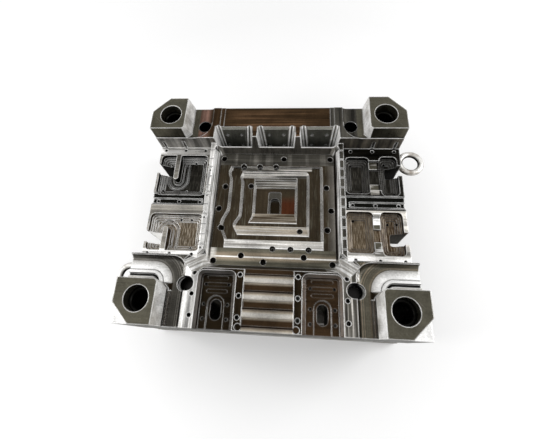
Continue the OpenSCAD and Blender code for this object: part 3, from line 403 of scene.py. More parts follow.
def milled(name, paint, edge_colour=HIGHLIGHT_WHITE, edge=0.0062, rough=(0.24, 0.40)):
    """Milled steel with painted highlights on its edges. paint(graph) returns the Paint of its faces."""
    net = Graph(name)
    skin = paint(net)
    fine, broad = net.feed_marks(skin.along_y)
    blotch = net.noise(net.place, scale=9.0, detail=4.0)
    speck = net.noise(net.place, scale=170.0)
    deep = net.spread(broad, low=0.30, high=0.70, to_low=0.25, to_high=1.95)
    shallow = net.spread(fine, low=0.30, high=0.70, to_low=0.70, to_high=1.30)
    tone = net.blend(skin.marks, 1.0, net.math("MULTIPLY", deep, shallow))
    blotches = net.spread(blotch, low=0.30, high=0.72, to_low=0.70, to_high=1.30)
    tone = net.math("MULTIPLY", tone, blotches)
    specks = net.spread(speck, low=0.34, high=0.72, to_low=0.86, to_high=1.18)
    tone = net.math("MULTIPLY", tone, specks)
    colour = net.scale_colour(skin.colour, tone)
    # Painted highlights: edges of the solid take edge_colour, broken up by noise and scaled by the paint's
    # edges
    edge_mask, soft_normal = net.arris(edge)
    edge_highlight_noise = net.noise(net.place, scale=19.0, detail=2.0)
    edge_highlight_breaks = net.spread(edge_highlight_noise, low=0.36, high=0.58, to_low=0.60, to_high=1.0)
    edge_mask = net.both(edge_mask, edge_highlight_breaks, skin.edges)
    colour = net.colour(edge_mask, colour, edge_colour)
    roughness = net.spread(net.math("ADD", fine, blotch), 0.7, 1.3, *rough)
    normal = net.bump(fine, strength=0.25, distance=0.0004, normal=soft_normal)
    metallic = net.blend(net.either(skin.satin, edge_mask), METAL, SATIN_METAL)
    return net.metal(colour, roughness, normal, metallic)


def paint_cavity(coat, net, wide, up):
    """Walls of the main pocket, the ribs beside it and the slots in its rear wall."""
    pocket_front = -0.300
    pocket_rear = 0.420
    pocket_low = FLOOR_Z - 0.040
    wall_rear = 0.300
    corner_front = 0.240
    slot_front = REAR_WALL_Y + 0.018
    rib_in = 0.250
    rib_out = RECESS_IN + 0.004
    rib_low = RIB_Z - 0.012
    corner_slant = (0.20, 0.85)
    slot_slant = 0.25
    inside = net.both(net.below(wide, RECESS_IN), net.between(net.y, pocket_front, pocket_rear),
                      net.above(net.z, pocket_low))
    low = net.both(inside, net.below(net.z, DECK_Z - CLEAR))
    left_wall = net.both(low, net.above(net.nx, SIDE_FACE, TURN), net.below(net.y, wall_rear))
    right_wall = net.both(low, net.below(net.nx, -SIDE_FACE, TURN), net.below(net.y, wall_rear))
    streaks = net.lines(net.z, net.y, count=150.0, drift=3.0, low=0.40, high=0.52)
    # Painted shade: both walls are dark at the foot, the right one further up. Above it, painted highlights
    # streak both walls, the left one bright all over
    foot = net.fall(net.z, low=FLOOR_Z + 0.006, high=FLOOR_Z + 0.022)
    bright = net.colour(streaks, GREY_STEEL, HIGHLIGHT_WHITE)
    coat.lay(left_wall, net.colour(foot, bright, DARK_STEEL_AND_SHADE), marks=0.1, satin=1.0)
    height = net.rise(net.z, low=FLOOR_Z + 0.016, high=FLOOR_Z + 0.034)
    coat.lay(right_wall, net.colour(net.both(streaks, height), DARK_STEEL_AND_SHADE, HIGHLIGHT_WHITE), marks=0.1,
             satin=height)
    slant = net.math("ABSOLUTE", net.nx)
    # Painted highlights in streaks on the rounded rear corners
    corner = net.both(low, net.between(slant, *corner_slant, soft=0.08), net.above(net.y, corner_front),
                      net.below(net.nz, SIDE_FACE))
    streaks = net.lines(net.x, net.z, count=120.0, drift=4.0)
    coat.lay(corner, net.colour(streaks, SLATE_STEEL, HIGHLIGHT_WHITE), marks=0.2, satin=1.0)
    coat.lay(net.both(low, net.below(net.ny, -FACING), net.above(net.y, corner_front + 0.010)), GREY_STEEL,
             marks=0.3)
    # Slots in the rear wall: grooves and sides painted white as highlights
    slot = net.both(low, net.above(net.y, slot_front), net.above(slant, slot_slant, TURN))
    coat.lay(slot, HIGHLIGHT_WHITE, marks=0.1, satin=1.0, edges=1.0)
    rib = net.both(up, net.between(net.z, rib_low, RIB_Z + 2 * CLEAR), net.between(wide, rib_in, rib_out))
    # Rib tops: the left one pale as painted light, the right one slate as painted shade
    coat.lay(net.both(rib, net.below(net.x, 0.0)), PALE_STEEL, along_y=1.0, marks=0.9, satin=0.5)
    coat.lay(net.both(rib, net.above(net.x, 0.0)), SLATE_STEEL, along_y=1.0, marks=0.8)


def paint_rear(coat, net, wide, up):
    """Deck and track behind the cavity, and the strips beside the track."""
    track_front = REAR_WALL_Y + 0.055
    track_half_w = 0.251
    track_low = DECK_Z - 0.030
    warm_left = -0.205
    warm_right = 0.170
    relief_left = -0.372
    relief_right = -0.326
    deck = net.both(up, net.above(net.z, track_low), net.below(net.z, DECK_Z + 2 * CLEAR),
                    net.above(net.y, REAR_WALL_Y))
    streaks = net.lines(net.y, net.x, count=34.0, drift=1.0, low=0.46)
    warm = net.both(streaks, net.between(net.x, warm_left, warm_right, soft=0.04))
    coat.lay(deck, net.colour(warm, BROWN_STEEL, WARM_STEEL), marks=0.5)
    coat.lay(net.both(deck, net.above(net.y, track_front)), coat.colour, edges=0.25)
    beside = net.both(deck, net.above(wide, track_half_w))
    left = net.both(beside, net.below(net.x, 0.0))
    relief = net.between(net.x, relief_left, relief_right, soft=0.012)
    coat.lay(left, net.colour(relief, BROWN_STEEL, PINK_STEEL), along_y=1.0, marks=0.4)
    coat.lay(net.both(beside, net.above(net.x, 0.0)), SLATE_STEEL, along_y=1.0, marks=0.8)


def paint_ledges(coat, net, wide, up):
    """Side ledges, their pockets and notches, and the walls at their ends."""
    pit_low = LEDGE_Z - 0.060
    rim_low = LEDGE_Z - 0.0085
    outer_pit_in = 0.450
    bridge_in = 0.430
    bridge_out = 0.468
    bridge_rear = 0.262
    bridge_low = LEDGE_Z - 0.020
    groove_front = 0.010
    groove_rear = 0.095
    front_strip_y = -0.180
    rear_strip_y = 0.290
    notch_in = 0.500
    notch_front = -0.160
    notch_rear = 0.260
    notch_top = LEDGE_Z - 0.022
    low = net.both(net.above(wide, RECESS_IN), net.between(net.y, RECESS_FRONT, RECESS_REAR + CLEAR),
                   net.between(net.z, pit_low, DECK_Z), net.below(wide, HALF_W - INSET))
    right = net.above(net.x, 0.0)
    left = net.below(net.x, 0.0)
    ahead = net.below(net.y, groove_front + 0.010)
    drawn = net.lines(net.x, net.y, count=230.0, drift=26.0, low=0.46, high=0.70)
    pit = net.both(low, net.below(net.z, LEDGE_Z - 2 * CLEAR))
    # Painted shade: the ledge pockets are near black with slate lines; the front ones get their own colours
    # below
    coat.lay(pit, net.colour(drawn, NEAR_BLACK_STEEL, SLATE_STEEL), marks=0.2, edges=net.blend(right, 0.65, 0.13))
    coat.lay(net.both(pit, left, ahead), net.colour(drawn, EARTH_STEEL, TAN_STEEL), edges=1.0)
    front_pits = net.both(pit, right, ahead)
    brown = net.colour(net.above(wide, outer_pit_in), EARTH_STEEL, BROWN_STEEL)
    coat.lay(front_pits, net.colour(drawn, brown, CLAY_STEEL))
    coat.lay(net.both(pit, right, net.above(net.z, rim_low)), coat.colour, edges=1.0)
    # Bridge between the inner and the outer pocket, broken by the groove, with broken lines of painted
    # highlight, whitest in front
    bridge = net.both(low, right, net.between(wide, bridge_in, bridge_out),
                      net.above(net.z, bridge_low), net.below(net.y, bridge_rear),
                      net.below(net.between(net.y, groove_front, groove_rear), 0.5))
    broken = net.lines(net.y, net.x, count=42.0, drift=6.0, low=0.48, high=0.56)
    bright = net.colour(ahead, LIGHT_STEEL, HIGHLIGHT_WHITE)
    coat.lay(bridge, net.colour(broken, OLIVE_STEEL, bright), edges=1.0)
    # Painted shade: the groove is black
    coat.lay(net.both(pit, net.between(net.y, groove_front + 0.020, groove_rear - 0.005)), SHADE_BLACK,
             edges=1.0)
    # Ledge tops: painted light and shade, grey on the left and near black on the right, light on the right in
    # front, with pale strips as painted highlights at the front and the left rear
    top = net.both(low, up, net.above(net.z, LEDGE_Z - CLEAR))
    coat.lay(top, net.colour(right, GREY_STEEL, NEAR_BLACK_STEEL), marks=0.9, edges=net.blend(right, 1.0, 0.8))
    coat.lay(net.both(top, right, ahead), LIGHT_STEEL, marks=0.9)
    coat.lay(net.both(top, bridge), net.colour(broken, GREY_STEEL, bright), marks=0.2, satin=ahead)
    coat.lay(net.both(top, net.below(net.y, front_strip_y)), PALE_STEEL, marks=1.0)
    coat.lay(net.both(top, net.above(net.y, rear_strip_y), left), PALE_STEEL, marks=0.9)
    # Walls at the rear end, with painted highlights in streaks, lighter on the left, and at the front end
    end = net.both(low, net.below(net.ny, -FACING), net.above(net.y, RECESS_REAR - 4 * CLEAR))
    gleam = net.lines(net.x, net.z, count=30.0, low=0.40, high=0.80)
    coat.lay(net.both(end, left), net.colour(gleam, SLATE_STEEL, LIGHT_STEEL), marks=0.1, satin=1.0)
    coat.lay(net.both(end, right), net.colour(gleam, SLATE_STEEL, TAN_STEEL), marks=0.1, satin=0.5)
    front_end = net.both(low, net.above(net.ny, FACING), net.below(net.y, RECESS_FRONT + 4 * CLEAR))
    coat.lay(front_end, GREY_STEEL, marks=0.3)
    # Walls of the notches that open through the sides: white as painted highlight on the left in front, black
    # as painted shade elsewhere
    notch = net.both(net.between(wide, notch_in, HALF_W - CLEAR), net.below(net.z, notch_top),
                     net.below(up, 0.5),
                     net.between(net.y, notch_front, notch_rear), net.above(net.z, BLOCK_LOW.z + CLEAR))
    lit = net.both(left, ahead)
    coat.lay(notch, net.colour(lit, SHADE_BLACK, HIGHLIGHT_WHITE), marks=0.1, satin=lit)


def paint_front(coat, net, wide, up):
    """Strips, pockets and ramp in front of the cavity."""
    strip_out = 0.345
    pocket_out = 0.300
    rail_in = 0.281
    pocket_low = DECK_Z - 0.060
    floor_low = DECK_Z - 0.050
    step_low = DECK_Z - 0.0325
    marked_high = DECK_Z - 0.030
    marked_front = -0.370
    front = net.both(up, net.below(net.y, FRONT_Y), net.below(wide, strip_out),
                     net.between(net.z, floor_low, DECK_Z + 2 * CLEAR))
    coat.lay(front, net.colour(net.above(net.x, 0.0), DARK_STEEL_AND_SHADE, BROWN_STEEL), marks=0.3, edges=0.25)
    marked = net.both(front, net.above(net.y, marked_front), net.below(net.z, marked_high))
    coat.lay(marked, coat.colour, edges=0.1)
    side = net.both(net.below(up, 0.5), net.below(net.y, FRONT_Y), net.below(wide, pocket_out),
                    net.between(net.z, pocket_low, DECK_Z - 3 * SOFT), net.above(net.y, INSET - HALF_D))
    coat.lay(side, BROWN_STEEL, marks=0.1, edges=0.3)
    stepped = net.both(net.below(net.y, FRONT_Y), net.below(wide, pocket_out),
                       net.between(net.z, step_low, DECK_Z - 2 * CLEAR))
    coat.lay(stepped, coat.colour, edges=0.07)
    rail = net.both(front, net.above(net.z, DECK_Z - 2 * CLEAR))
    coat.lay(rail, net.colour(net.above(wide, rail_in), DARK_STEEL_AND_SHADE, PALE_STEEL), along_y=1.0, marks=0.9,
             edges=1.0)
    right_rail = net.both(rail, net.above(net.x, rail_in))
    coat.lay(right_rail, net.colour(net.lines(net.x, net.y, count=90.0), SLATE_STEEL, LIGHT_STEEL))
    # Ribbed ramp: painted highlights on the crests, fading through lighter flanks to brown roots as painted
    # shading
    tooth = net.math("FRACT", net.math("DIVIDE", net.math("SUBTRACT", RAMP_START, net.y), RAMP_PITCH))
    crest = net.wave(net.math("SUBTRACT", tooth, RAMP_CREST))
    ramp = net.both(front, net.below(wide, RAMP_HALF_W))
    flank = net.colour(net.rise(crest, low=0.15, high=0.75), BROWN_STEEL, TAN_STEEL)
    coat.lay(ramp, net.colour(net.rise(crest, low=0.7, high=1.0), flank, LIGHT_STEEL), marks=0.15, edges=0.15)


def paint_channels(coat, net, wide):
    """Channels and skirts round the front bosses, coloured by distance from the boss, the skirts with painted
    highlights and painted shade.
    """
    # Radii of the painted highlight on the lip and of the painted shade ring outside it
    pool_r = 0.019
    shadow_r = 0.034
    line_in = 0.0460
    line_out = 0.0495
    fan_in = 0.225
    fan_front = -0.300
    fan_rear = -0.200
    fan_slope = (0.3, 0.9)
    channel = net.both(net.between(wide, CHANNEL_IN - CLEAR, HALF_W - INSET),
                       net.between(net.y, INSET - HALF_D, CHANNEL_REAR + CLEAR),
                       net.between(net.z, CHANNEL_FLOOR - 2 * CLEAR, DECK_Z + CLEAR))
    aside = net.math("MAXIMUM", net.math("SUBTRACT", SKIRT_X, wide), 0.0)
    ahead = net.math("SUBTRACT", net.y, SKIRT_Y)
    near = net.reach(aside, net.math("MAXIMUM", ahead, 0.0))
    rings = net.lines(near, 0.0, count=150.0, drift=1.0, low=0.48)
    coat.lay(channel, net.colour(rings, SLATE_STEEL, GREY_STEEL), marks=0.1)
    coat.lay(net.both(channel, net.above(net.x, 0.0)), net.colour(rings, OLIVE_STEEL, CLAY_STEEL))
    skirt = net.both(channel, net.above(ahead, 0.0), net.below(near, SKIRT_W))
    # Painted reflection: the skirt turns white towards the boss
    fade = net.fall(near, low=SKIRT_W - 0.028, high=SKIRT_W + 0.006)
    coat.lay(skirt, net.colour(fade, GREY_STEEL, HIGHLIGHT_WHITE), marks=0.03, satin=fade)
    # Painted shade: a slate ring and, closer to the boss, a black ring; inside them a painted highlight on
    # the lip
    coat.lay(net.both(skirt, net.between(near, line_in, line_out)), SLATE_STEEL)
    coat.lay(net.both(skirt, net.between(near, pool_r, shadow_r, CLEAR)), SHADE_BLACK)
    coat.lay(net.both(skirt, net.below(near, pool_r, CLEAR)), LIGHT_STEEL)
    # Painted shade: a dark band at the foot of each front boss's inner face
    foot = net.both(channel, net.below(ahead, 0.0),
                    net.between(wide, BOSS_IN - 0.018, BOSS_IN + 0.004, soft=0.006))
    coat.lay(foot, DARK_STEEL_AND_SHADE, marks=0.1)
    # Sloping fans in the front corners of the main pocket, with painted highlights in streaks
    fan = net.both(net.between(wide, fan_in, FAN_OUT), net.between(net.y, fan_front, fan_rear),
                   net.between(net.nz, *fan_slope, HARD_TURN), net.between(net.z, FLOOR_Z, DECK_Z - CLEAR))
    sheen = net.lines(net.math("ADD", wide, net.y), net.z, count=60.0, drift=3.0, low=0.42, high=0.60)
    coat.lay(fan, net.colour(sheen, LIGHT_STEEL, HIGHLIGHT_WHITE), marks=0.2, satin=1.0)


def paint_bosses(coat, net, wide, up):
    """Scratched boss tops, inner faces painted light in clouds as highlights and darker at the foot as
    painted shade, and low steps in the outer corners painted white as highlights.
    """
    inner_out = 0.440
    inner_slant = 0.3
    step_z = TOP_Z - 0.030
    boss = net.both(net.above(wide, BOSS_IN - 0.030),
                    net.above(net.math("ABSOLUTE", net.y), BOSS_IN_Y - 2 * CLEAR),
                    net.above(net.z, CHANNEL_FLOOR), net.below(wide, HALF_W - INSET))
    boss = net.both(boss, net.below(net.math("ABSOLUTE", net.y), HALF_D - INSET))
    coat.lay(boss, OLIVE_STEEL, marks=0.3)
    slant = net.above(net.math("ABSOLUTE", net.nx), inner_slant, TURN)
    inner = net.both(boss, slant, net.below(wide, inner_out), net.below(up, 0.5))
    # Painted highlights in clouds on the inner faces, and painted shade at their foot
    cloud = net.rise(net.noise(net.place, scale=11.0, detail=2.0), low=0.35, high=0.62)
    foot = net.fall(net.z, low=CHANNEL_FLOOR + 0.004, high=CHANNEL_FLOOR + 0.026)
    sheer = net.colour(cloud, LIGHT_STEEL, HIGHLIGHT_WHITE)
    coat.lay(inner, net.colour(foot, sheer, SLATE_STEEL), marks=0.04, satin=1.0)
    top = net.both(up, net.above(net.z, TOP_Z - 4 * CLEAR))
    scratches = net.lines(net.math("ADD", net.x, net.y), net.x, count=300.0, drift=14.0, low=0.66, high=0.74)
    coat.lay(top, net.colour(scratches, OLIVE_STEEL, GREY_STEEL), marks=0.12)
    # Painted highlight: the low steps are white
    coat.lay(net.both(up, net.between(net.z, step_z - 4 * CLEAR, step_z + 4 * CLEAR)), HIGHLIGHT_WHITE,
             marks=0.08)


def paint_block(net):
    """Face colours of the holder block, region by region."""
    up_share = 0.72
    wide = net.math("ABSOLUTE", net.x)
    up = net.above(net.nz, up_share, HARD_TURN)
    coat = Paint(net, SLATE_STEEL, marks=0.15)
    for region in (paint_cavity, paint_rear, paint_ledges, paint_front, paint_bosses):
        region(coat, net, wide, up)
    paint_channels(coat, net, wide)
    # Painted shade: the return pin holes are black
    for place_x, place_y in RETURN_PLACES:
        near = net.reach(net.math("SUBTRACT", wide, place_x), net.math("SUBTRACT", net.y, place_y))
        hole = net.both(net.below(near, RETURN_HOLE_R), net.below(net.z, DECK_Z - 3 * CLEAR))
        coat.lay(hole, SHADE_BLACK, marks=0.1, edges=0.3)
    return coat


def paint_floor(coat, net, up):
    """Border of the pocket floor, painted light in front and towards the right wall, with painted highlights.
    """
    light_x = (0.236, 0.285)
    stripe_y = (-0.212, -0.182)
    stripe_x = (0.10, 0.24)
    highlight_line_y = (-0.202, -0.197)
    corner_x = -0.250
    corner_y = -0.225
    floor = net.both(up, net.above(net.z, FLOOR_Z - CLEAR))
    # Painted light: lighter towards the right wall
    coat.lay(floor, net.colour(net.rise(net.x, *light_x), coat.colour, GREY_STEEL))
    # Painted highlight: a light band in front with a pale line in it, and a light front left corner
    near = net.both(floor, net.below(net.y, NEAR_RAMPS[0][0] + SOFT))
    stripe = net.both(net.between(net.y, *stripe_y, soft=0.008),
                      net.spread(net.x, *stripe_x, to_low=1.0, to_high=0.45))
    coat.lay(near, net.colour(stripe, OLIVE_STEEL, CLAY_STEEL), along_y=0.0, marks=0.6)
    coat.lay(net.both(near, net.between(net.y, *highlight_line_y, soft=0.002)), PALE_STEEL)
    coat.lay(net.both(near, net.below(net.x, corner_x, soft=0.010), net.above(net.y, corner_y, soft=0.004)),
             LIGHT_STEEL)
    rear = net.both(floor, net.above(net.y, REAR_STEPS[0][1]))
    # Painted highlights: soft light lines on the rear border
    gleam = net.lines(net.x, net.y, count=24.0, drift=1.0, low=0.50, high=0.75)
    coat.lay(rear, net.colour(gleam, SLATE_STEEL, GREY_STEEL), along_y=0.0, marks=0.6)


def paint_centre(coat, net):
    """Lowest floor, with a painted red reflection and a small pocket painted dark as shade in front and slate
    behind.
    """
    centre_high = FLOOR_Z - 0.038
    pocket_high = FLOOR_Z - 0.040
    lit_y = 0.085
    red_x = (0.030, 0.096)
    pocket_x = (-0.032, 0.028)
    centre = net.both(net.below(net.z, centre_high), net.between(net.y, *CENTRE_Y))
    coat.lay(centre, TREAD_STEEL, marks=0.2, edges=0.35)
    # Painted reflection: red on the lowest floor in front of lit_y
    coat.lay(net.both(centre, net.between(net.x, *red_x, soft=0.006), net.below(net.y, lit_y, soft=0.02)),
             RED_REFLECTION)
    # Painted shade: the small pocket is dark in front of lit_y
    pocket = net.both(centre, net.between(net.x, *pocket_x), net.below(net.z, pocket_high))
    coat.lay(pocket, net.colour(net.above(net.y, lit_y, soft=0.01), DARK_STEEL_AND_SHADE, SLATE_STEEL))


def paint_insert(net):
    """Ramps at the front of each terrace painted light as reflections, dark treads at its sides and grey
    steps behind with painted highlights.
    """
    steps_half_w = 0.170
    up_share = 0.80
    ramp_share = 0.50
    scratch = net.lines(net.x, net.y, count=130.0, drift=14.0, low=0.52, high=0.80)
    coat = Paint(net, net.colour(scratch, TREAD_STEEL, OLIVE_STEEL), marks=0.25)
    coat.along_y = 1.0
    wide = net.math("ABSOLUTE", net.x)
    up = net.above(net.nz, up_share, soft=0.03)
    # Upright walls of the terraces, painted light at the top of each as a highlight and grey below
    depth = net.math("FRACT", net.math("DIVIDE", net.math("SUBTRACT", FLOOR_Z, net.z), TERRACE_H))
    wall = net.below(net.nz, up_share, soft=0.03)
    coat.lay(wall, net.colour(net.rise(depth, low=0.1, high=0.6), TAN_STEEL, SLATE_STEEL), marks=0.1,
             edges=net.spread(depth, low=0.25, high=0.50, to_low=1.0, to_high=0.1))
    coat.lay(up, coat.colour, edges=0.6)
    paint_floor(coat, net, up)
    # Each terrace, from the floor down: its front ramp painted light as a reflection, with a white painted
    # highlight line near its front edge
    shades = ((LIGHT_STEEL, PALE_STEEL), (TAN_STEEL, LIGHT_STEEL), (EARTH_STEEL, TAN_STEEL))
    for level, (front, end) in enumerate(NEAR_RAMPS):
        well = net.below(net.z, FLOOR_Z - TERRACE_H * level - CLEAR)
        ramp = net.both(well, net.between(net.y, front, end), net.above(net.nz, ramp_share, TURN))
        streaks = net.lines(net.y, net.x, count=150.0, drift=3.0)
        coat.lay(ramp, net.colour(streaks, *shades[level]), along_y=0.0, marks=0.45)
        coat.lay(net.both(ramp, net.between(net.y, front + 0.002, front + 0.007, soft=0.002)), HIGHLIGHT_WHITE)
    # Rear steps: light lines painted as highlights on slate
    lights = (LIGHT_STEEL, LIGHT_STEEL, GREY_STEEL)
    for level, (foot, rim) in enumerate(REAR_STEPS):
        well = net.below(net.z, FLOOR_Z - TERRACE_H * level - CLEAR)
        steps = net.both(well, net.between(net.y, foot - 0.012, rim + CLEAR), net.below(wide, steps_half_w))
        treads = net.lines(net.y, net.x, count=110.0, drift=3.0, low=0.46, high=0.56)
        coat.lay(steps, net.colour(treads, SLATE_STEEL, lights[level]), along_y=0.0, marks=0.6, edges=0.6)
    paint_centre(coat, net)
    return coat


def paint_plain(colour, marks=0.12):
    """Paint of one colour all over."""
    def paint(net):
        return Paint(net, colour, marks)
    return paint


def polished(name, colour, rough=0.22, bright_from=0.0):
    """Turned or ground steel, with fine rings round its length and edges painted white as highlights above
    bright_from.
    """
    net = Graph(name)
    rings = net.noise(net.join(0.0, 0.0, net.math("MULTIPLY", net.z, TURNED_RINGS)), scale=1.0, detail=2.0)
    cloud = net.noise(net.place, scale=25.0)
    shade = net.scale_colour(colour, net.spread(cloud, low=0.3, high=0.7, to_low=0.75, to_high=1.2))
    edge_mask, soft_normal = net.arris(radius=0.0015)
    # Painted highlights on the edges above bright_from
    shade = net.colour(net.both(edge_mask, net.above(net.z, bright_from)), shade, HIGHLIGHT_WHITE)
    roughness = net.spread(cloud, low=0.3, high=0.7, to_low=rough, to_high=rough + 0.15)
    normal = net.bump(rings, strength=0.2, distance=0.0002, normal=soft_normal)
    return net.metal(shade, roughness, normal)


def forged(name):
    """Zinc plated forging with a dull, uneven skin and rust in places, painted shade inside its ring and
    painted highlights on its edges.
    """
    net = Graph(name)
    skin = net.noise(net.place, scale=120.0, detail=4.0)
    cloud = net.noise(net.place, scale=14.0)
    shade = net.colour(net.spread(cloud, low=0.50, high=0.68, to_low=0.0, to_high=0.7), ZINC, RUST)
    shade = net.scale_colour(shade, net.spread(skin, low=0.3, high=0.7, to_low=0.80, to_high=1.12))
    # Painted shade: the inner face of each ring is dark
    aside = net.math("SUBTRACT", net.math("ABSOLUTE", net.x), EYE_X)
    ahead = net.math("SUBTRACT", net.math("ABSOLUTE", net.y), EYE_Y)
    shade = net.colour(net.below(net.reach(aside, ahead), EYE_HOLE_R + 0.004, soft=0.003), shade, DARK_STEEL_AND_SHADE)
    # Painted highlights on the edges
    edge_mask, soft_normal = net.arris(radius=0.002)
    shade = net.colour(edge_mask, shade, PALE_STEEL)
    roughness = net.spread(skin, low=0.3, high=0.7, to_low=0.30, to_high=0.50)
    normal = net.bump(skin, strength=0.4, distance=0.0006, normal=soft_normal)
    return net.metal(shade, roughness, normal, metallic=0.9)


def give(material, *names):
    """Put the material on the CAD nodes of these names."""
    for name in names:
        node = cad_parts[name]
        node.data.materials.clear()
        node.data.materials.append(material)


def add_springs(material):
    """Return springs of round wire, wound over the height of the return_springs part, which they replace."""
    low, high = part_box("return_springs")
    bottom = low.z + SPRING_WIRE_R
    rise = high.z - SPRING_WIRE_R - bottom
    rings = SPRING_TURNS * SPRING_STEPS
    points = []
    faces = []
    for place_x, place_y in RETURN_PLACES:
        for middle in (-place_x, place_x):
            first = len(points)
            for ring in range(rings + 1):
                turn = 2.0 * math.pi * ring / SPRING_STEPS
                for corner in range(SPRING_SIDES):
                    lean = 2.0 * math.pi * corner / SPRING_SIDES
                    reach = SPRING_R + SPRING_WIRE_R * math.cos(lean)
                    height = bottom + rise * ring / rings + SPRING_WIRE_R * math.sin(lean)
                    points.append((middle + reach * math.cos(turn), place_y + reach * math.sin(turn), height))
            for ring in range(rings):
                for corner in range(SPRING_SIDES):
                    here = first + ring * SPRING_SIDES + corner
                    beside = first + ring * SPRING_SIDES + (corner + 1) % SPRING_SIDES
                    faces.append((here, here + SPRING_SIDES, beside + SPRING_SIDES, beside))
            faces.append(tuple(range(first, first + SPRING_SIDES)))
            faces.append(tuple(range(len(points) - 1, len(points) - 1 - SPRING_SIDES, -1)))
    mesh = bpy.data.meshes.new("wound_return_springs")
    mesh.from_pydata(points, [], faces)
    for face in mesh.polygons:
        face.use_smooth = len(face.vertices) == 4
    mesh.materials.append(material)
    springs = bpy.data.objects.new("wound_return_springs", mesh)
    bpy.context.scene.collection.objects.link(springs)
    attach(springs, "mould_half")
    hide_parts("return_springs")
    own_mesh(springs)


def seen_directly(tree, otherwise, seen):
    """seen for what the camera, a mirror or glass shows, and otherwise for the light it gives."""
    path = tree.nodes.new("ShaderNodeLightPath")
    sharp = tree.nodes.new("ShaderNodeMath")
    sharp.operation = "MAXIMUM"
    tree.links.new(path.outputs["Is Camera Ray"], sharp.inputs[0])
    tree.links.new(path.outputs["Is Glossy Ray"], sharp.inputs[1])
    both = tree.nodes.new("ShaderNodeMath")
    both.operation = "MAXIMUM"
    tree.links.new(sharp.outputs[0], both.inputs[0])
    tree.links.new(path.outputs["Is Transmission Ray"], both.inputs[1])
    pick = tree.nodes.new("ShaderNodeMapRange")
    tree.links.new(both.outputs[0], pick.inputs["Value"])
    pick.inputs["To Min"].default_value = otherwise
    if isinstance(seen, bpy.types.NodeSocket):
        tree.links.new(seen, pick.inputs["To Max"])
    else:
        pick.inputs["To Max"].default_value = seen
    return pick.outputs["Result"]


def add_floor():
    """Pale floor, much wider than the mould, at the level of its underside."""
    mesh = bpy.data.meshes.new("floor")
    corners = [(x * FLOOR_REACH, y * FLOOR_REACH, 0.0) for x, y in ((-1, -1), (1, -1), (1, 1), (-1, 1))]
    mesh.from_pydata(corners, [], [(0, 1, 2, 3)])
    floor = bpy.data.objects.new("floor", mesh)
    bpy.context.scene.collection.objects.link(floor)
    material = bpy.data.materials.new("floor_paint")
    material.use_nodes = True
    tree = material.node_tree
    shader = tree.nodes["Principled BSDF"]
    shader.inputs["Base Color"].default_value = FLOOR_PAINT
    shader.inputs["Roughness"].default_value = FLOOR_ROUGHNESS
    shader.inputs["Emission Color"].default_value = (1.0, 1.0, 1.0, 1.0)
    # The glow grows away from the mould, where the lamps give less light
    coord = tree.nodes.new("ShaderNodeTexCoord")
    reach = tree.nodes.new("ShaderNodeVectorMath")
    reach.operation = "LENGTH"
    tree.links.new(coord.outputs["Object"], reach.inputs[0])
    glow = tree.nodes.new("ShaderNodeMapRange")
    tree.links.new(reach.outputs["Value"], glow.inputs["Value"])
    limits = (("From Min", NEAR_REACH), ("From Max", FAR_REACH), ("To Min", FLOOR_GLOW), ("To Max", FAR_GLOW))
    for key, number in limits:
        glow.inputs[key].default_value = number
    tree.links.new(seen_directly(tree, 0.0, glow.outputs["Result"]), shader.inputs["Emission Strength"])
    mesh.materials.append(material)


def add_world():
    """White studio behind the mould, dimmer as a light on it."""
    world = bpy.data.worlds.new("studio")
    bpy.context.scene.world = world
    world.use_nodes = True
    background = world.node_tree.nodes["Background"]
    background.inputs[0].default_value = (1.0, 1.0, 1.0, 1.0)
    world.node_tree.links.new(seen_directly(world.node_tree, SKY_LIGHT, 1.0), background.inputs[1])


def add_lamp(name, place, size, power):
    """Soft box that faces the middle of the main pocket's floor."""
    data = bpy.data.lights.new(name, "AREA")
    data.shape = "RECTANGLE"
    data.size, data.size_y = size
    data.energy = power
    lamp = bpy.data.objects.new(name, data)
    bpy.context.scene.collection.objects.link(lamp)
    lamp.location = place
    aim = Vector((0.0, 0.0, FLOOR_Z)) - Vector(place)
    lamp.rotation_euler = aim.to_track_quat("-Z", "Y").to_euler()


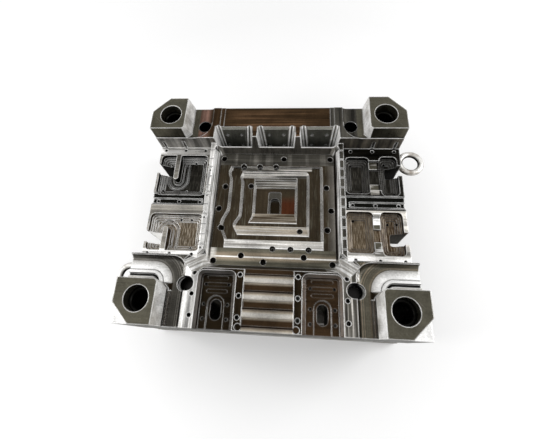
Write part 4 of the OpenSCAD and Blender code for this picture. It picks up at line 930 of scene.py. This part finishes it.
def add_camera():
    """Camera at the photograph's viewpoint, found from the corners of the block and its holes."""
    focal_px = 360.246
    width_px = 550.0
    height_px = 439.0
    centre_px = (262.584, 181.142)
    sensor_mm = 36.0
    eye = Vector((0.11608, -0.53903, TOP_Z + 1.34926))
    forward = Vector((-0.10410, 0.41203, -0.90520)).normalized()
    right = Vector((0.99445, 0.05711, -0.08837)).normalized()
    up = right.cross(forward).normalized()
    data = bpy.data.cameras.new("camera")
    data.sensor_width = sensor_mm
    data.lens = focal_px / width_px * sensor_mm
    data.shift_x = (width_px / 2 - centre_px[0]) / width_px
    data.shift_y = (centre_px[1] - height_px / 2) / width_px
    camera = bpy.data.objects.new("camera", data)
    bpy.context.scene.collection.objects.link(camera)
    turn = Matrix((right, up, -forward)).transposed()
    camera.matrix_world = Matrix.Translation(eye) @ turn.to_4x4()
    bpy.context.scene.camera = camera


give(milled("holder_steel", paint_block), "holder_block")
give(milled("insert_steel", paint_insert, edge=0.0036), "cavity_insert")
plates = milled("plate_steel", paint_plain(GREY_STEEL), rough=(0.30, 0.45))
give(plates, "rail_left", "rail_right", "clamp_plate", "ejector_plate", "ejector_retainer_plate",
     "support_pillars")
# Wear plates: pale painted highlights on their edges
wear = milled("wear_steel", paint_plain(WEAR_STEEL, marks=0.2), edge_colour=PALE_STEEL, edge=0.002,
              rough=(0.34, 0.46))
give(wear, "wear_plate_left", "wear_plate_centre", "wear_plate_right")
# Guide bushes: near black as painted shade, with painted highlights on their top edges
bushes = polished("bush_steel", BUSH_STEEL, bright_from=TOP_Z - 0.02)
give(bushes, "guide_bush_front_left", "guide_bush_front_right", "guide_bush_rear_left",
     "guide_bush_rear_right")
give(polished("pin_steel", PIN_STEEL), "rail_dowels", "stop_buttons", "ejector_guide_pillars")
# Pins in holes: near black, as painted shade in those holes
give(polished("near_black_pin_steel", NEAR_BLACK_PIN_STEEL), "ejector_pins", "return_pins")
give(polished("screw_steel", SCREW_STEEL, rough=0.35), "insert_screws", "wear_plate_screws",
     "clamp_screws", "pillar_screws", "ejector_plate_screws")
give(polished("bearing_bronze", BRONZE, rough=0.3), "ejector_guide_bushes")
wound = polished("spring_steel", SPRING_STEEL, rough=0.3)
give(wound, "return_springs")
give(forged("zinc_forging"), "eye_bolt_right", "eye_bolt_left")
add_springs(wound)
add_camera()
add_floor()
add_world()
add_lamp("overhead", place=(-0.4, 0.9, 3.2), size=(2.4, 1.2), power=5.0)
add_lamp("left_box", place=(-2.6, -0.4, 1.9), size=(1.6, 1.6), power=48.0)
add_lamp("right_box", place=(2.6, 0.3, 2.0), size=(1.4, 1.4), power=42.0)
bpy.context.scene.view_settings.view_transform = "Standard"
